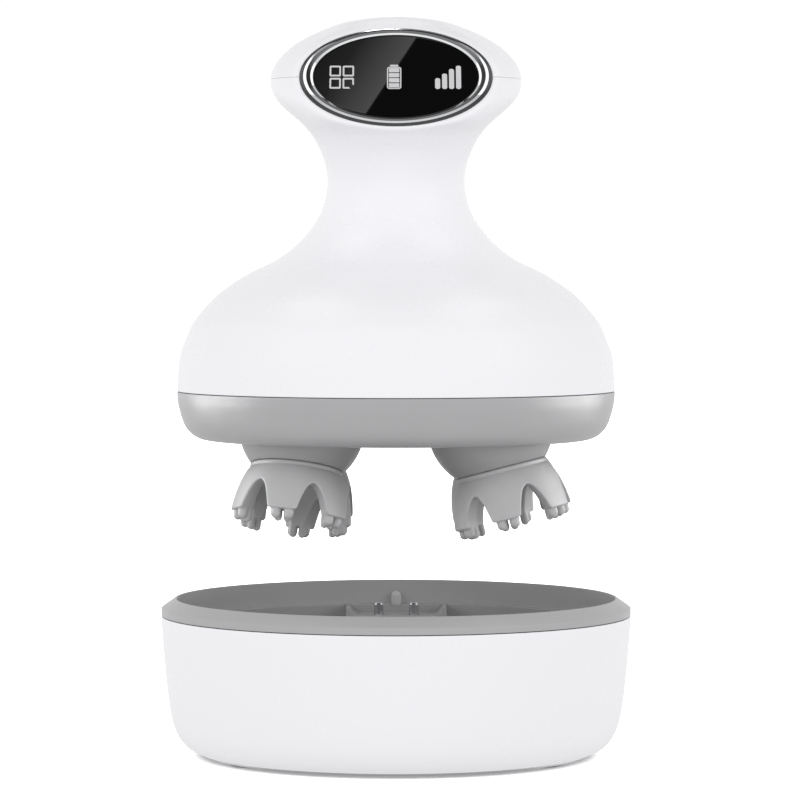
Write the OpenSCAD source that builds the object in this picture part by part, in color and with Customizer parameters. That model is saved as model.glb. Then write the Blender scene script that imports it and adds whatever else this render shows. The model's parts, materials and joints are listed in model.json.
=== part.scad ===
// Electric scalp massager with its charging dock.
// The massager is held just above the dock, as it is when it is lifted off.
// Millimetres, +Z up. The origin is at the centre of the dock's feet, the front is -Y.

/* [Plan shape] */
// Depth of every oval, as a share of its width
plan_k = 0.87; // [0.865:0.0025:0.875]
// Number of sides round a lofted shell
loft_n = 56; // [40:4:64]

/* [Dock] */
// Wall thickness of the outer shell of the dock
dock_wall = 2.0; // [1.8:0.1:2.1]
// Height of the floor of the tray
tray_floor = 4.4; // [4.2:0.1:4.6]
// Height of the ledge that the massager rests on
ledge_z = 34.0; // [33.8:0.1:34.2]
// Height of the contact shelf
shelf_z = 31.9; // [31.7:0.1:32.1]
// Distance between the two charging pins
pin_pitch = 9.4; // [8.6:0.2:10.4]
// Radius of a charging pin
pin_r = 1.25; // [1.1:0.05:1.3]
// How far a charging pin stands above the shelf
pin_proud = 3.3; // [2.8:0.1:3.4]
// Radius of a rubber foot
foot_r = 5.5; // [4.5:0.5:6]

/* [Massager shell] */
// Wall thickness of the white shells
wall = 2.0; // [1.8:0.1:2.2]
// Radius of the four openings for the rotating hubs
hub_hole_r = 15.6; // [15.5:0.1:15.8]
// Radius of the boss under each housing screw
boss_r = 3.2; // [3:0.1:3.4]

/* [Display] */
// Half width of the chrome bezel
bezel_a = 24.45; // [24:0.05:24.6]
// Half height of the chrome bezel
bezel_b = 17.25; // [17:0.05:17.4]
// Half width of the lens
lens_a = 21.0; // [20.6:0.1:21.2]
// Half height of the lens
lens_b = 14.25; // [14:0.05:14.4]
// Lean of the display from upright, in degrees
lean = 40; // [39:0.5:41]

/* [Gear train] */
// Module of all the gears
gear_m = 0.8; // [0.8:0.01:0.81]
// Teeth on each of the two idler gears
idler_z = 35; // [35:1:35]
// Teeth on each of the four output gears
output_z = 14; // [14:1:14]
// Teeth on the motor pinion
pinion_z = 10; // [10:1:10]
// Play between two meshing teeth
backlash = 0.16; // [0.12:0.01:0.2]
// Half the distance between the two idler axles
idler_x = 14.0; // [14:0.01:14.02]

/* [Massage heads] */
// Half the distance between the left and right heads
hub_x = 23.6; // [23.5:0.1:23.7]
// Tilt of each claw from the axis that it turns about, in degrees
tilt = 15; // [12:0.5:15]
// Number of legs on a claw
legs = 6; // [6:1:6]
// Radius of an outer nub
nub_ro = 1.22; // [1.1:0.02:1.3]
// Radius of an inner nub
nub_ri = 0.98; // [0.9:0.02:1.1]
// Length of a nub
nub_len = 2.4; // [2.2:0.1:2.5]

/* [Hidden] */

white = [0.95, 0.95, 0.96];
grey = [0.66, 0.66, 0.67];
rubber_grey = [0.72, 0.72, 0.73];
steel = [0.75, 0.76, 0.78];
black = [0.05, 0.05, 0.06];
board = [0.08, 0.35, 0.2];
gold = [0.85, 0.68, 0.3];
acetal = [0.93, 0.92, 0.88];

// ---- levels of the massager, from the floor of the skirt up
skirt_z0 = 80.8;      // underside of the skirt
floor_z = 83.0;       // inside of the skirt's floor
part_z = 93.25;       // parting line between skirt and white housing
plate1_z = 87.0;      // underside of the lower gearbox plate
plate2_z = 95.0;      // underside of the upper gearbox plate
plate_t = 2.0;        // thickness of both plates
gear_z0 = 89.6;       // underside of the teeth
gear_t = 4.8;         // face width of the teeth
split_z = 172.6;      // parting line between housing and head cap
ball_z = 85.0;        // centre of the hub balls
ball_r = 15.85;       // radius of the hub balls

// ---- gear geometry
idler_r = gear_m * idler_z / 2;
output_r = gear_m * output_z / 2;
pinion_r = gear_m * pinion_z / 2;
mesh_d = idler_r + output_r;
hub_y = sqrt(mesh_d * mesh_d - (hub_x - idler_x) * (hub_x - idler_x));
pinion_dir = 50;
pinion_x = -idler_x + (idler_r + pinion_r) * cos(pinion_dir);
pinion_y = (idler_r + pinion_r) * sin(pinion_dir);
can_x = -1.2;
can_y = 6.9;

// Phase of a gear that meshes with a gear of za teeth and phase pa, seen from it in direction phi
function mesh_phase(phi, za, pa, zb) = phi + 180 - (0.5 - za * (phi - pa) / 360) * 360 / zb;

// ---- screws of the massager: left, right, front, rear
screw_xy = [[-40, 0], [40, 0], [0, -33], [0, 27]];
screw_top = [119, 119, 119, 123.2];

// ---- directions that the claws lean to at rest, and where their legs stand
lean_left = 244.9;
lean_right = -14.3;
leg_dir = -100;

// ---- the white body: height, half width, front and rear. A front of -24 marks a level with the display's flat on it
flat_mark = -24;
SECT = [[93.25, 56.0, -48.7, 48.7], [98.2, 55.7, -48.4, 48.4], [103.3, 55.0, -47.7, 47.7],
        [107, 53.5, -46.5, 46.5], [110, 52.3, -45.4, 45.4], [113.5, 49.7, -43.2, 43.2],
        [116.2, 47.3, -41.1, 41.1], [118.6, 44.4, -38.6, 38.6], [121.2, 40.7, -35.4, 35.4],
        [123.8, 36.2, -31.6, 31.5], [126.3, 30.9, -27.4, 27.2], [128.9, 27.1, -24.4, 24.1],
        [131.4, 24.3, -22.1, 21.7], [134.5, 21.7, -20.0, 19.4], [138, 19.4, -18.3, 17.6],
        [142, 18.0, -17.2, 16.6], [146.8, 17.4, -17.0, 16.4], [151, 18.0, -17.9, 16.7],
        [154.4, 19.2, -19.4, 17.3], [157.2, 20.6, -21.4, 18.1], [159.3, 22.1, -23.6, 18.8],
        [161, 23.6, -24.0, 19.5], [163, 25.9, -24.0, 20.2], [165, 28.2, -24.0, 20.9],
        [167.2, 30.3, -24.0, 21.7], [169.8, 31.6, -24.0, 22.5], [172.6, 32.0, -24.0, 23.0],
        [174.9, 31.6, -24.0, 23.0], [177.4, 30.2, -24.0, 22.4], [180, 27.9, -24.0, 21.0],
        [182, 25.3, -24.0, 19.2], [184.1, 21.6, -24.0, 16.2], [186, 17.1, -24.0, 12.7],
        [187.2, 13.6, -0.2, 9.6], [188.0, 9.3, 0.9, 7.2], [188.45, 5.0, 1.9, 5.0], [188.6, 1.6, 2.8, 3.9]];

// Point of the display plane at height z
disp_y = -12.0;
disp_z = 173.2;
function plane_y(z) = disp_y + (z - disp_z) * tan(lean);
// Half width of the flat round the bezel at height z
function flat_w(z) = let (v = (z - disp_z) / cos(lean), q = 1 - v * v / (18.2 * 18.2)) q > 0 ? 25.4 * sqrt(q) : 0;
// Front of the oval at one level: where a flat is needed, the oval bulges past the display plane
function front_of(s) = s[2] != flat_mark ? s[2] :
    let (q = flat_w(s[0]) / s[1], b = (s[3] - plane_y(s[0])) / (1 + sqrt(max(0, 1 - q * q)))) s[3] - 2 * b;
// One ring of points: oval, cut off at the display plane, shrunk by t
function ring(s, ta, tf, tb, tp) = let (a = s[1] - ta, f = front_of(s) + tf, r = s[3] - tb, c = (f + r) / 2, b = (r - f) / 2)
    [for (i = [0:loft_n - 1]) let (w = 360 * i / loft_n, y = c + b * sin(w))
        [a * cos(w), s[0] > 158 ? max(y, plane_y(s[0]) + tp) : y, s[0]]];
// Slope-corrected wall: how far the inner oval is inset at level i
function inset(i, k, t) = let (j0 = max(0, i - 1), j1 = min(len(SECT) - 1, i + 1),
    d = (SECT[j1][k] - SECT[j0][k]) / (SECT[j1][0] - SECT[j0][0])) min(4.4, t * sqrt(1 + d * d));
// Rings of the outer and inner skins between two levels
function outer_rings(i0, i1) = [for (i = [i0:i1]) ring(SECT[i], 0, 0, 0, 0)];
function inner_rings(i0, i1) = [for (i = [i0:i1]) let (ff = SECT[i][2] != flat_mark ? inset(i, 2, wall) : wall)
    ring(SECT[i], inset(i, 1, wall), ff, inset(i, 3, wall), wall / cos(lean))];

// Closed skin through a list of rings, first ring at the bottom
module loft(rings) {
    n = len(rings[0]);
    m = len(rings);
    pts = [for (r = rings) each r];
    faces = concat([[for (i = [0:n - 1]) i]],
        [for (j = [0:m - 2]) for (i = [0:n - 1]) [j * n + i, (j + 1) * n + i, (j + 1) * n + (i + 1) % n]],
        [for (j = [0:m - 2]) for (i = [0:n - 1]) [j * n + i, (j + 1) * n + (i + 1) % n, j * n + (i + 1) % n]],
        [[for (i = [n - 1:-1:0]) (m - 1) * n + i]]);
    polyhedron(pts, faces, convexity = 6);
}

// Solid of revolution squeezed to an oval, turned in eight parts
module oval(profile, k = plan_k) {
    scale([1, k, 1]) for (q = [0:7]) rotate([0, 0, q * 45]) rotate_extrude(angle = 45, $fn = 96) polygon(profile);
}

// Flat oval plate
module disc(r, z, h, k = plan_k) { translate([0, 0, z]) scale([1, k, 1]) cylinder(r = r, h = h, $fn = 96); }

// Closed oval ring through a section. Each point is [half width, half height, level]
module oval_loop(section, n = 96) {
    m = len(section);
    pts = [for (s = section) for (i = [0:n - 1]) [s[0] * cos(360 * i / n), s[1] * sin(360 * i / n), s[2]]];
    faces = [for (j = [0:m - 1]) for (i = [0:n - 1]) let (a = j * n + i, b = j * n + (i + 1) % n, c = ((j + 1) % m) * n + (i + 1) % n, d = ((j + 1) % m) * n + i)
        each [[a, c, b], [a, d, c]]];
    polyhedron(pts, faces, convexity = 4);
}

// A lead along a list of points: an eight-sided tube, each ring square to the route
function unit(v) = v / norm(v);
function along(p, i) = i == 0 ? unit(p[1] - p[0]) : i == len(p) - 1 ? unit(p[i] - p[i - 1]) : unit(unit(p[i + 1] - p[i]) + unit(p[i] - p[i - 1]));
module lead(p, r) {
    rings = [for (i = [0:len(p) - 1]) let (d = along(p, i), u = unit(cross(d, [0.86, 0.4, 0.31])), v = cross(d, u))
        [for (k = [0:7]) p[i] + r * (cos(k * 45) * u + sin(k * 45) * v)]];
    loft(rings);
}

module mirrored_x() { children(); mirror([1, 0, 0]) children(); }

// ---------------------------------------------------------------- dock

shell_out = [[50.9, 1.2], [53.8, 2.7], [56.0, 5.5], [57.3, 9.0], [58.2, 13.8], [58.9, 19.9], [59.45, 26], [59.85, 31], [60.1, 35.7], [59.75, 36.0]];
tray_in = [[28, tray_floor], [36, tray_floor], [41, tray_floor + 0.8], [45.5, tray_floor + 2.4], [49.6, tray_floor + 4.8], [52.2, 12.2], [53.4, 15.5],
           [53.8, 19], [53.8, 24], [53.7, ledge_z], [55.4, ledge_z], [56.1, 40.2]];

module dock_outer_shell() {
    color(white) difference() {
        oval(concat(shell_out, [for (i = [9:-1:0]) [shell_out[i][0] - dock_wall - (i == 9 ? -0.35 : i == 0 ? 0.3 : 0), shell_out[i][1]]]));
        // opening for the charging inlet in the rear wall
        translate([0, 56, 20.4]) rotate([90, 0, 0]) cylinder(r = 2.0, h = 12, $fn = 32);
        for (s = [-1, 1]) translate([s * 2.9, 56, 20.4]) rotate([90, 0, 0]) cylinder(r = 2.0, h = 12, $fn = 32);
        translate([-2.9, 44, 18.4]) cube([5.8, 12, 4.0]);
    }
}

shelf_x = 13.3;
base_screw_a = 44.5;
shelf_y = 34.0;
pin_y = 38.0;

module dock_tray() {
    color(grey) difference() {
        union() {
            oval(concat(tray_in, [[56.6, 40.3], [60.1, 37.8], [60.1, 36.3], [59.75, 36.0], [57.3, 36.0], [57.3, 33.2], [55.5, 31.2],
                 [55.4, 19], [55.1, 15.4], [53.9, 11.4], [51.0, 7.8], [46.2, 5.1], [41.3, 3.5], [36, 2.9], [28, 2.9]]));
            disc(29, 2.9, tray_floor - 2.9);
            intersection() {
                oval([[30, 3], [40, 3.6], [49.5, 8.2], [53.6, 14], [54.6, 19], [54.6, 34.0], [30, 34.0]]);
                union() {
                    translate([-shelf_x, shelf_y, 20.2]) cube([2 * shelf_x, 20, shelf_z - 20.2]);
                    translate([-10, 35.5, 3]) cube([20, 18, 18]);
                    mirrored_x() translate([0, shelf_y + 20, 0]) rotate([90, 0, 0]) linear_extrude(height = 20)
                        polygon([[10.5, shelf_z - 1], [10.5, shelf_z], [12.4, ledge_z], [shelf_x, ledge_z], [shelf_x, shelf_z - 1]]);
                }
            }
            // bosses for the screws of the base plate
            for (a = [45, 135, 225, 315]) translate([base_screw_a * cos(a), base_screw_a * plan_k * sin(a), 2.9]) cylinder(r = 2.4, h = 2.5, $fn = 32);
        }
        // hollow behind the shelf, for the pins, their board and the inlet
        translate([-8.6, 35.4, 21.8]) cube([17.2, 20, 29.9 - 21.8]);
        translate([-8.6, 37.1, 2]) cube([17.2, 20, 20.5]);
        for (s = [-1, 1]) translate([s * pin_pitch / 2, pin_y, 28]) cylinder(r = pin_r + 0.2, h = 8, $fn = 32);
        translate([0, 48.4, 25]) cylinder(r = 1.5, h = 20, $fn = 32);
        for (a = [45, 135, 225, 315]) translate([base_screw_a * cos(a), base_screw_a * plan_k * sin(a), 2]) cylinder(r = 1.1, h = 3.2, $fn = 32);
    }
}

module dock_base_plate() {
    color(grey) difference() {
        union() {
            disc(49.8, 0.6, 0.3);
            disc(50.4, 0.9, 0.3);
            disc(48.3, 1.2, 1.6);
        }
        for (x = [-36, 36], y = [-20, 20]) translate([x, y, 0]) cylinder(r = foot_r, h = 1.4, $fn = 48);
        for (a = [45, 135, 225, 315]) translate([base_screw_a * cos(a), base_screw_a * plan_k * sin(a), 0]) {
            cylinder(r = 2.3, h = 1.7, $fn = 32);
            cylinder(r = 1.2, h = 4, $fn = 32);
        }
    }
}

module dock_rubber_feet() {
    color(black) for (x = [-36, 36], y = [-20, 20]) translate([x, y, 0])
        rotate_extrude($fn = 48) polygon([[0, 0], [foot_r - 0.7, 0], [foot_r - 0.3, 0.2], [foot_r - 0.1, 0.6], [foot_r - 0.1, 1.4], [0, 1.4]]);
}

module dock_screws() {
    color(steel) for (a = [45, 135, 225, 315]) translate([base_screw_a * cos(a), base_screw_a * plan_k * sin(a), 0]) difference() {
        union() {
            translate([0, 0, 0.7]) cylinder(r = 2.1, h = 1.0, $fn = 32);
            translate([0, 0, 1.7]) cylinder(r = 1.05, h = 3.4, $fn = 32);
        }
        for (w = [0, 90]) rotate([0, 0, w]) translate([-1.2, -0.25, 0.5]) cube([2.4, 0.5, 0.8]);
    }
}

module dock_light_guide() {
    color([0.85, 0.86, 0.88]) translate([0, 48.4, 26]) {
        cylinder(r = 1.5, h = 10.5, $fn = 32);
        translate([0, 0, 10.5]) intersection() { sphere(r = 1.5, $fn = 32); cylinder(r = 2, h = 0.9, $fn = 32); }
    }
}

module dock_pin_holder() {
    color(black) difference() {
        translate([-8.3, 35.5, 24.6]) cube([16.6, 5.4, 5.3]);
        for (s = [-1, 1]) translate([s * pin_pitch / 2, pin_y, 20]) cylinder(r = 2.1, h = 12, $fn = 32);
    }
}

module dock_pin_barrels() {
    color(gold) for (s = [-1, 1]) translate([s * pin_pitch / 2, pin_y, 0]) difference() {
        translate([0, 0, 23.4]) cylinder(r = 2.1, h = 6.5, $fn = 32);
        translate([0, 0, 24.0]) cylinder(r = 1.62, h = 5.2, $fn = 32);
        translate([0, 0, 25]) cylinder(r = pin_r + 0.06, h = 8, $fn = 32);
    }
}

module dock_pin_springs() {
    color(steel) for (s = [-1, 1]) translate([s * pin_pitch / 2, pin_y, 24.0])
        for (i = [0:4]) translate([0, 0, 0.17 + i * 0.55]) rotate_extrude($fn = 32) translate([1.3, 0]) circle(r = 0.16, $fn = 16);
}

module charging_pin(s) {
    color(steel) translate([s * pin_pitch / 2, pin_y, 0]) rotate_extrude($fn = 48)
        polygon([[0, 26.8], [1.5, 26.8], [1.5, 27.7], [pin_r, 27.7], [pin_r, shelf_z + pin_proud - 0.6],
                 [pin_r - 0.15, shelf_z + pin_proud - 0.25], [pin_r - 0.45, shelf_z + pin_proud - 0.06], [pin_r - 0.8, shelf_z + pin_proud], [0, shelf_z + pin_proud]]);
}
module charging_pin_left() { charging_pin(-1); }
module charging_pin_right() { charging_pin(1); }

module dock_circuit_board() {
    color(board) union() {
        translate([-8.3, 35.6, 22.0]) cube([16.6, 10.6, 1.4]);
        translate([-2.5, 42.0, 23.4]) cube([5, 3, 1.0]);
        translate([-1.2, 45.0, 23.4]) cube([2.4, 1.2, 0.8]);
        translate([4.6, 42.3, 23.4]) cube([2, 1.2, 0.6]);
    }
}

module dock_usb_socket() {
    color(steel) difference() {
        union() {
            translate([-4.47 + 1.6, 43.9, 18.8]) cube([8.94 - 3.2, 7.0, 3.2]);
            for (s = [-1, 1]) translate([s * (4.47 - 1.6), 50.9, 20.4]) rotate([90, 0, 0]) cylinder(r = 1.6, h = 7.0, $fn = 32);
        }
        translate([-4.17 + 1.3, 45.0, 19.1]) cube([8.34 - 2.6, 7.0, 2.6]);
        for (s = [-1, 1]) translate([s * (4.17 - 1.3), 52, 20.4]) rotate([90, 0, 0]) cylinder(r = 1.3, h = 7.0, $fn = 32);
    }
    color(black) translate([-3.3, 43.95, 20.05]) cube([6.6, 5.6, 0.7]);
}

// ---------------------------------------------------------------- white shells

module upper_housing() {
    color(white) difference() {
        union() {
            difference() {
                loft(outer_rings(0, 26));
                loft(concat([[for (p = inner_rings(0, 0)[0]) [p[0], p[1], 92]]], inner_rings(0, 26),
                            [[for (p = inner_rings(26, 26)[0]) [p[0], p[1], 174]]]));
            }
            for (i = [0:3]) translate([screw_xy[i][0], screw_xy[i][1], 97]) cylinder(r = boss_r, h = screw_top[i] - 97, $fn = 32);
        }
        for (p = screw_xy) translate([p[0], p[1], 96]) cylinder(r = 1.3, h = 11.5, $fn = 32);
        on_display() oval_bore();
    }
}

module head_cap() {
    color(white) difference() {
        loft(outer_rings(26, 36));
        loft(concat([[for (p = inner_rings(26, 26)[0]) [p[0], p[1], 171]]], inner_rings(26, 31),
             [[for (p = ring([186.0, 15.4, -24, 12.2], 2, 2, 2, wall / cos(lean))) p], [for (p = ring([186.5, 9, 3, 8.6], 2, 1, 1, wall / cos(lean))) p]]));
        on_display() oval_bore();
    }
}

// ---------------------------------------------------------------- display
// Local frame: x to the right, y up the slope, z out of the face

module on_display() { translate([0, disp_y, disp_z]) rotate([90 - lean, 0, 0]) children(); }

module oval_plate(a, b, z, h) { translate([0, 0, z]) linear_extrude(height = h) scale([1, b / a]) circle(r = a, $fn = 96); }

module oval_bore() { disc(22.75, -9, 18, 16.1 / 22.75); }

module display_bezel() {
    w = lens_a + 0.05;
    h = lens_b + 0.05;
    color(steel) on_display() oval_loop([[w - 0.9, h - 0.9, -3.4], [22.6, 15.9, -3.4], [22.6, 15.9, 0.02], [bezel_a, bezel_b, 0.02],
        [bezel_a, bezel_b, 0.5], [bezel_a - 0.35, bezel_b - 0.33, 1.0], [bezel_a - 1.1, bezel_b - 1.0, 1.35],
        [bezel_a - 2.0, bezel_b - 1.75, 1.3], [bezel_a - 2.7, bezel_b - 2.35, 0.95], [w, h, 0.55], [w, h, -1.3], [w - 0.9, h - 0.9, -1.3]]);
}

module display_lens() {
    color(black) on_display() {
        oval_plate(lens_a, lens_b, -1.3, 1.5);
        oval_plate(lens_a - 0.35, lens_b - 0.35, 0.2, 0.15);
    }
}

// Rounded frame for a symbol
module soft_square(s, w) {
    difference() {
        square([s, s], center = true);
        square([s - 2 * w, s - 2 * w], center = true);
    }
}

module display_icons() {
    color([0.8, 0.82, 0.85]) on_display() translate([0, 0, 0.36]) linear_extrude(height = 0.04) {
        // four-square mode symbol
        translate([-13.75, 0.2]) {
            translate([-1.65, 1.95]) soft_square(2.7, 0.5);
            translate([1.65, 1.95]) soft_square(2.7, 0.5);
            translate([-1.65, -1.95]) soft_square(2.7, 0.5);
            translate([1.65, -1.95]) difference() { soft_square(2.7, 0.5); translate([-0.1, -0.9]) square([0.9, 0.7]); translate([0.5, -1.5]) square([1, 1.3]); }
        }
        // battery symbol
        translate([-0.55, 0.1]) {
            difference() { square([3.7, 7.2], center = true); square([2.9, 6.4], center = true); }
            translate([0, 4.0]) square([1.6, 0.7], center = true);
            for (i = [0:3]) translate([0, -2.4 + i * 1.6]) square([2.3, 1.1], center = true);
        }
        // rising bars for strength
        for (i = [0:3]) translate([10.1 + i * 1.95, -3.6]) square([1.4, 2.2 + i * 1.75]);
    }
}

module display_gasket() {
    color(black) on_display() difference() {
        oval_plate(22.6, 15.9, -4.2, 0.8);
        oval_plate(20.4, 13.7, -5, 3);
    }
}

module display_board() {
    color(board) on_display() union() {
        translate([-14, -9, -7.4]) cube([28, 18, 1.2]);
        translate([-4, -4.5, -8.6]) cube([8, 8, 1.2]);
        for (x = [-11, 9]) translate([x, 2, -8.2]) cube([2.4, 1.4, 0.8]);
        translate([-5, -8.5, -8.6]) cube([10, 2.6, 1.2]);
    }
}

module touch_springs() {
    color(steel) on_display() for (x = [-12.5, -0.5, 12]) translate([x, 0, -6.2])
        for (i = [0:6]) translate([0, 0, 0.25 + i * 0.73]) rotate_extrude($fn = 32) translate([2.4, 0]) circle(r = 0.25, $fn = 16);
}

module ribbon_cable() {
    pts = [[-4.6, 162.0], [-5.2, 160.5], [-7.5, 152], [-9, 141], [-10.5, 130], [-12, 124.6], [-12.2, 122.6]];
    color([0.8, 0.75, 0.6]) rotate([90, 0, 90]) translate([0, 0, -4]) linear_extrude(height = 8)
        polygon(concat(pts, [for (i = [len(pts) - 1:-1:0]) [pts[i][0] + 0.4, pts[i][1]]]));
}

// ---------------------------------------------------------------- grey skirt

skirt_out = [[45, skirt_z0], [48.2, skirt_z0 + 0.05], [50, skirt_z0 + 0.35], [51.6, 81.9], [52.9, 83.0], [53.8, 84.2], [54.5, 85.7], [55.2, 88], [55.75, 90.5], [55.93, 92.85], [55.7, 93.12]];
skirt_in = [[53.5, 93.12], [53.5, 95.0], [52.3, 95.0], [52.3, 88], [51.8, 85.8], [50.6, 84.0], [48.6, floor_z], [11, floor_z]];

module lower_skirt() {
    color(grey) difference() {
        union() {
            oval(concat([[11, skirt_z0]], skirt_out, skirt_in));
            disc(12.2, skirt_z0, floor_z - skirt_z0);
            // bosses that carry the gearbox
            for (p = screw_xy) translate([p[0], p[1], floor_z - 0.5]) cylinder(r = 4.0, h = plate1_z - floor_z + 0.5, $fn = 32);
            // walls round the contact pocket
            intersection() {
                oval([[30, 81.4], [49.4, 81.4], [51.2, 83.0], [52.7, 85.6], [53.6, 88], [30, 88]]);
                translate([-15.8, 31.8, 81]) cube([31.6, 30, 86.8 - 81]);
            }
        }
        for (x = [-hub_x, hub_x], y = [-hub_y, hub_y]) translate([x, y, 78]) cylinder(r = hub_hole_r, h = 6, $fn = 96);
        for (p = screw_xy) translate([p[0], p[1], 0]) {
            translate([0, 0, 78]) cylinder(r = 2.6, h = 83.2 - 78, $fn = 32);
            translate([0, 0, 78]) cylinder(r = 1.45, h = 12, $fn = 32);
        }
        // pocket that the contact shelf enters
        translate([-14.2, 33.3, 78]) cube([28.4, 30, 85.4 - 78]);
        for (s = [-1, 1]) translate([s * pin_pitch / 2, pin_y, 84]) cylinder(r = 1.7, h = 4, $fn = 32);
        // groove for the locating rib
        translate([0, 48.4, 78]) cylinder(r = 1.85, h = 10, $fn = 32);
    }
}

module skirt_gasket() {
    color(black) oval([[53.55, 93.15], [54.9, 93.15], [54.9, 93.25], [53.55, 93.25]]);
}

module housing_screws() {
    color(steel) for (p = screw_xy) translate([p[0], p[1], 0]) difference() {
        union() {
            translate([0, 0, 81.3]) cylinder(r = 2.35, h = 1.9, $fn = 32);
            translate([0, 0, 83.2]) cylinder(r = 1.25, h = 23.4, $fn = 32);
        }
        for (w = [0, 90]) rotate([0, 0, w]) translate([-1.5, -0.3, 81]) cube([3, 0.6, 1.3]);
    }
}

module contact_pads() {
    color(gold) for (s = [-1, 1]) translate([s * pin_pitch / 2, pin_y, 0]) {
        translate([0, 0, 85.2]) cylinder(r = 1.65, h = 1.65, $fn = 32);
        translate([0, 0, 86.85]) cylinder(r = 2.3, h = 0.5, $fn = 32);
        translate([0, 0, 87.35]) cylinder(r = 0.8, h = 2.6, $fn = 32);
    }
}

module contact_seals() {
    color(black) for (s = [-1, 1]) translate([s * pin_pitch / 2, pin_y, 87.35]) difference() {
        cylinder(r = 2.2, h = 0.7, $fn = 32);
        translate([0, 0, -1]) cylinder(r = 0.85, h = 3, $fn = 32);
    }
}

// ---------------------------------------------------------------- gearbox frame

module plate(z) {
    difference() {
        disc(46.5, z, plate_t);
        translate([-16.6, 31.4, z - 1]) cube([33.2, 20, plate_t + 2]);
        for (p = screw_xy) translate([p[0], p[1], z - 1]) cylinder(r = 1.45, h = plate_t + 2, $fn = 32);
        for (x = [-hub_x, hub_x], y = [-hub_y, hub_y]) translate([x, y, z - 1]) cylinder(r = 4.0, h = plate_t + 2, $fn = 48);
        for (s = [-1, 1]) translate([s * idler_x, 0, z - 1]) cylinder(r = 1.5, h = plate_t + 2, $fn = 32);
    }
}

module gearbox_lower_plate() {
    color([0.3, 0.3, 0.32]) union() {
        plate(plate1_z);
        // spacers up to the upper plate
        for (p = screw_xy) translate([p[0], p[1], plate1_z + plate_t]) difference() {
            cylinder(r = 3.2, h = plate2_z - plate1_z - plate_t, $fn = 32);
            translate([0, 0, -1]) cylinder(r = 1.45, h = 10, $fn = 32);
        }
    }
}

module gearbox_upper_plate() {
    color([0.3, 0.3, 0.32]) difference() {
        plate(plate2_z);
        translate([pinion_x, pinion_y, 94]) cylinder(r = 3.0, h = 4, $fn = 48);
        for (s = [-1, 1]) translate([can_x + s * 9.5, can_y - 2, 94]) {
            cylinder(r = 1.1, h = 4, $fn = 32);
            cylinder(r = 2.1, h = 1.9, $fn = 32);
        }
    }
}

module shaft_bushes() {
    color(gold) for (x = [-hub_x, hub_x], y = [-hub_y, hub_y], z = [plate1_z, plate2_z]) translate([x, y, z]) difference() {
        cylinder(r = 4.0, h = plate_t, $fn = 48);
        translate([0, 0, -1]) cylinder(r = 2.56, h = plate_t + 2, $fn = 48);
    }
}

module shaft_seals() {
    color(black) for (x = [-hub_x, hub_x], y = [-hub_y, hub_y]) translate([x, y, 86.35]) difference() {
        cylinder(r = 5.4, h = 0.65, $fn = 48);
        translate([0, 0, -1]) cylinder(r = 2.6, h = 3, $fn = 48);
    }
}

module idler_axles() {
    color(steel) for (s = [-1, 1]) translate([s * idler_x, 0, plate1_z]) cylinder(r = 1.5, h = plate2_z + plate_t - plate1_z, $fn = 32);
}

// ---------------------------------------------------------------- gears
// Involute teeth with a stub addendum, as points round one tooth

function inv_point(rb, w) = [rb * (cos(w) + w * PI / 180 * sin(w)), rb * (sin(w) - w * PI / 180 * cos(w))];
function inv_angle(rb, r) = r > rb ? sqrt(r * r / (rb * rb) - 1) * 180 / PI : 0;
function polar(p) = atan2(p[1], p[0]);

function tooth_outline(z, m, play) = let (pa = 25, r = m * z / 2, rb = r * cos(pa), ra = r + 0.8 * m, rr = r - 1.0 * m,
        half = 90 / z - play / 2 / r * 180 / PI / 2 + polar(inv_point(rb, inv_angle(rb, r))),
        r0 = max(rb, rr), steps = 5,
        flank = [for (i = [0:steps]) let (q = r0 + (ra - r0) * i / steps, p = inv_point(rb, inv_angle(rb, q))) [q, half - polar(p)]],
        side = rb > rr ? concat([[rr, half]], flank) : flank)
    concat([for (s = side) [s[0], -s[1]]], [for (i = [len(side) - 1:-1:0]) [side[i][0], side[i][1]]]);

function gear_outline(z, m, play) = let (t = tooth_outline(z, m, play))
    [for (i = [0:z - 1]) for (p = t) [p[0] * cos(p[1] + 360 * i / z), p[0] * sin(p[1] + 360 * i / z)]];

module gear(z, h, phase) { rotate([0, 0, phase]) linear_extrude(height = h) polygon(gear_outline(z, gear_m, backlash)); }

module idler_gear(s, phase) {
    color(acetal) translate([s * idler_x, 0, gear_z0]) difference() {
        union() {
            gear(idler_z, gear_t, phase);
            translate([0, 0, -0.4]) cylinder(r = 3.2, h = gear_t + 0.8, $fn = 48);
        }
        translate([0, 0, -1]) cylinder(r = 1.55, h = gear_t + 2, $fn = 48);
        // lightening recesses above and below the web
        for (z = [-1, gear_t - 1.2]) translate([0, 0, z]) difference() {
            cylinder(r = 11.2, h = 2.2, $fn = 64);
            translate([0, 0, -1]) cylinder(r = 4.6, h = 5, $fn = 48);
        }
    }
}
module idler_gear_left() { idler_gear(-1, 0); }
module idler_gear_right() { idler_gear(1, 0); }

module output_gear(x, y) {
    phi = atan2(y, x - (x < 0 ? -idler_x : idler_x));
    color(acetal) translate([x, y, 0]) {
        translate([0, 0, gear_z0]) gear(output_z, gear_t, mesh_phase(phi, idler_z, 0, output_z));
        translate([0, 0, gear_z0 - 0.4]) cylinder(r = 4.0, h = gear_t + 0.8, $fn = 48);
        translate([0, 0, 78.6]) cylinder(r = 2.5, h = 97.0 - 78.6, $fn = 48);
    }
}
module output_gear_front_left() { output_gear(-hub_x, -hub_y); }
module output_gear_front_right() { output_gear(hub_x, -hub_y); }
module output_gear_rear_left() { output_gear(-hub_x, hub_y); }
module output_gear_rear_right() { output_gear(hub_x, hub_y); }

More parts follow.
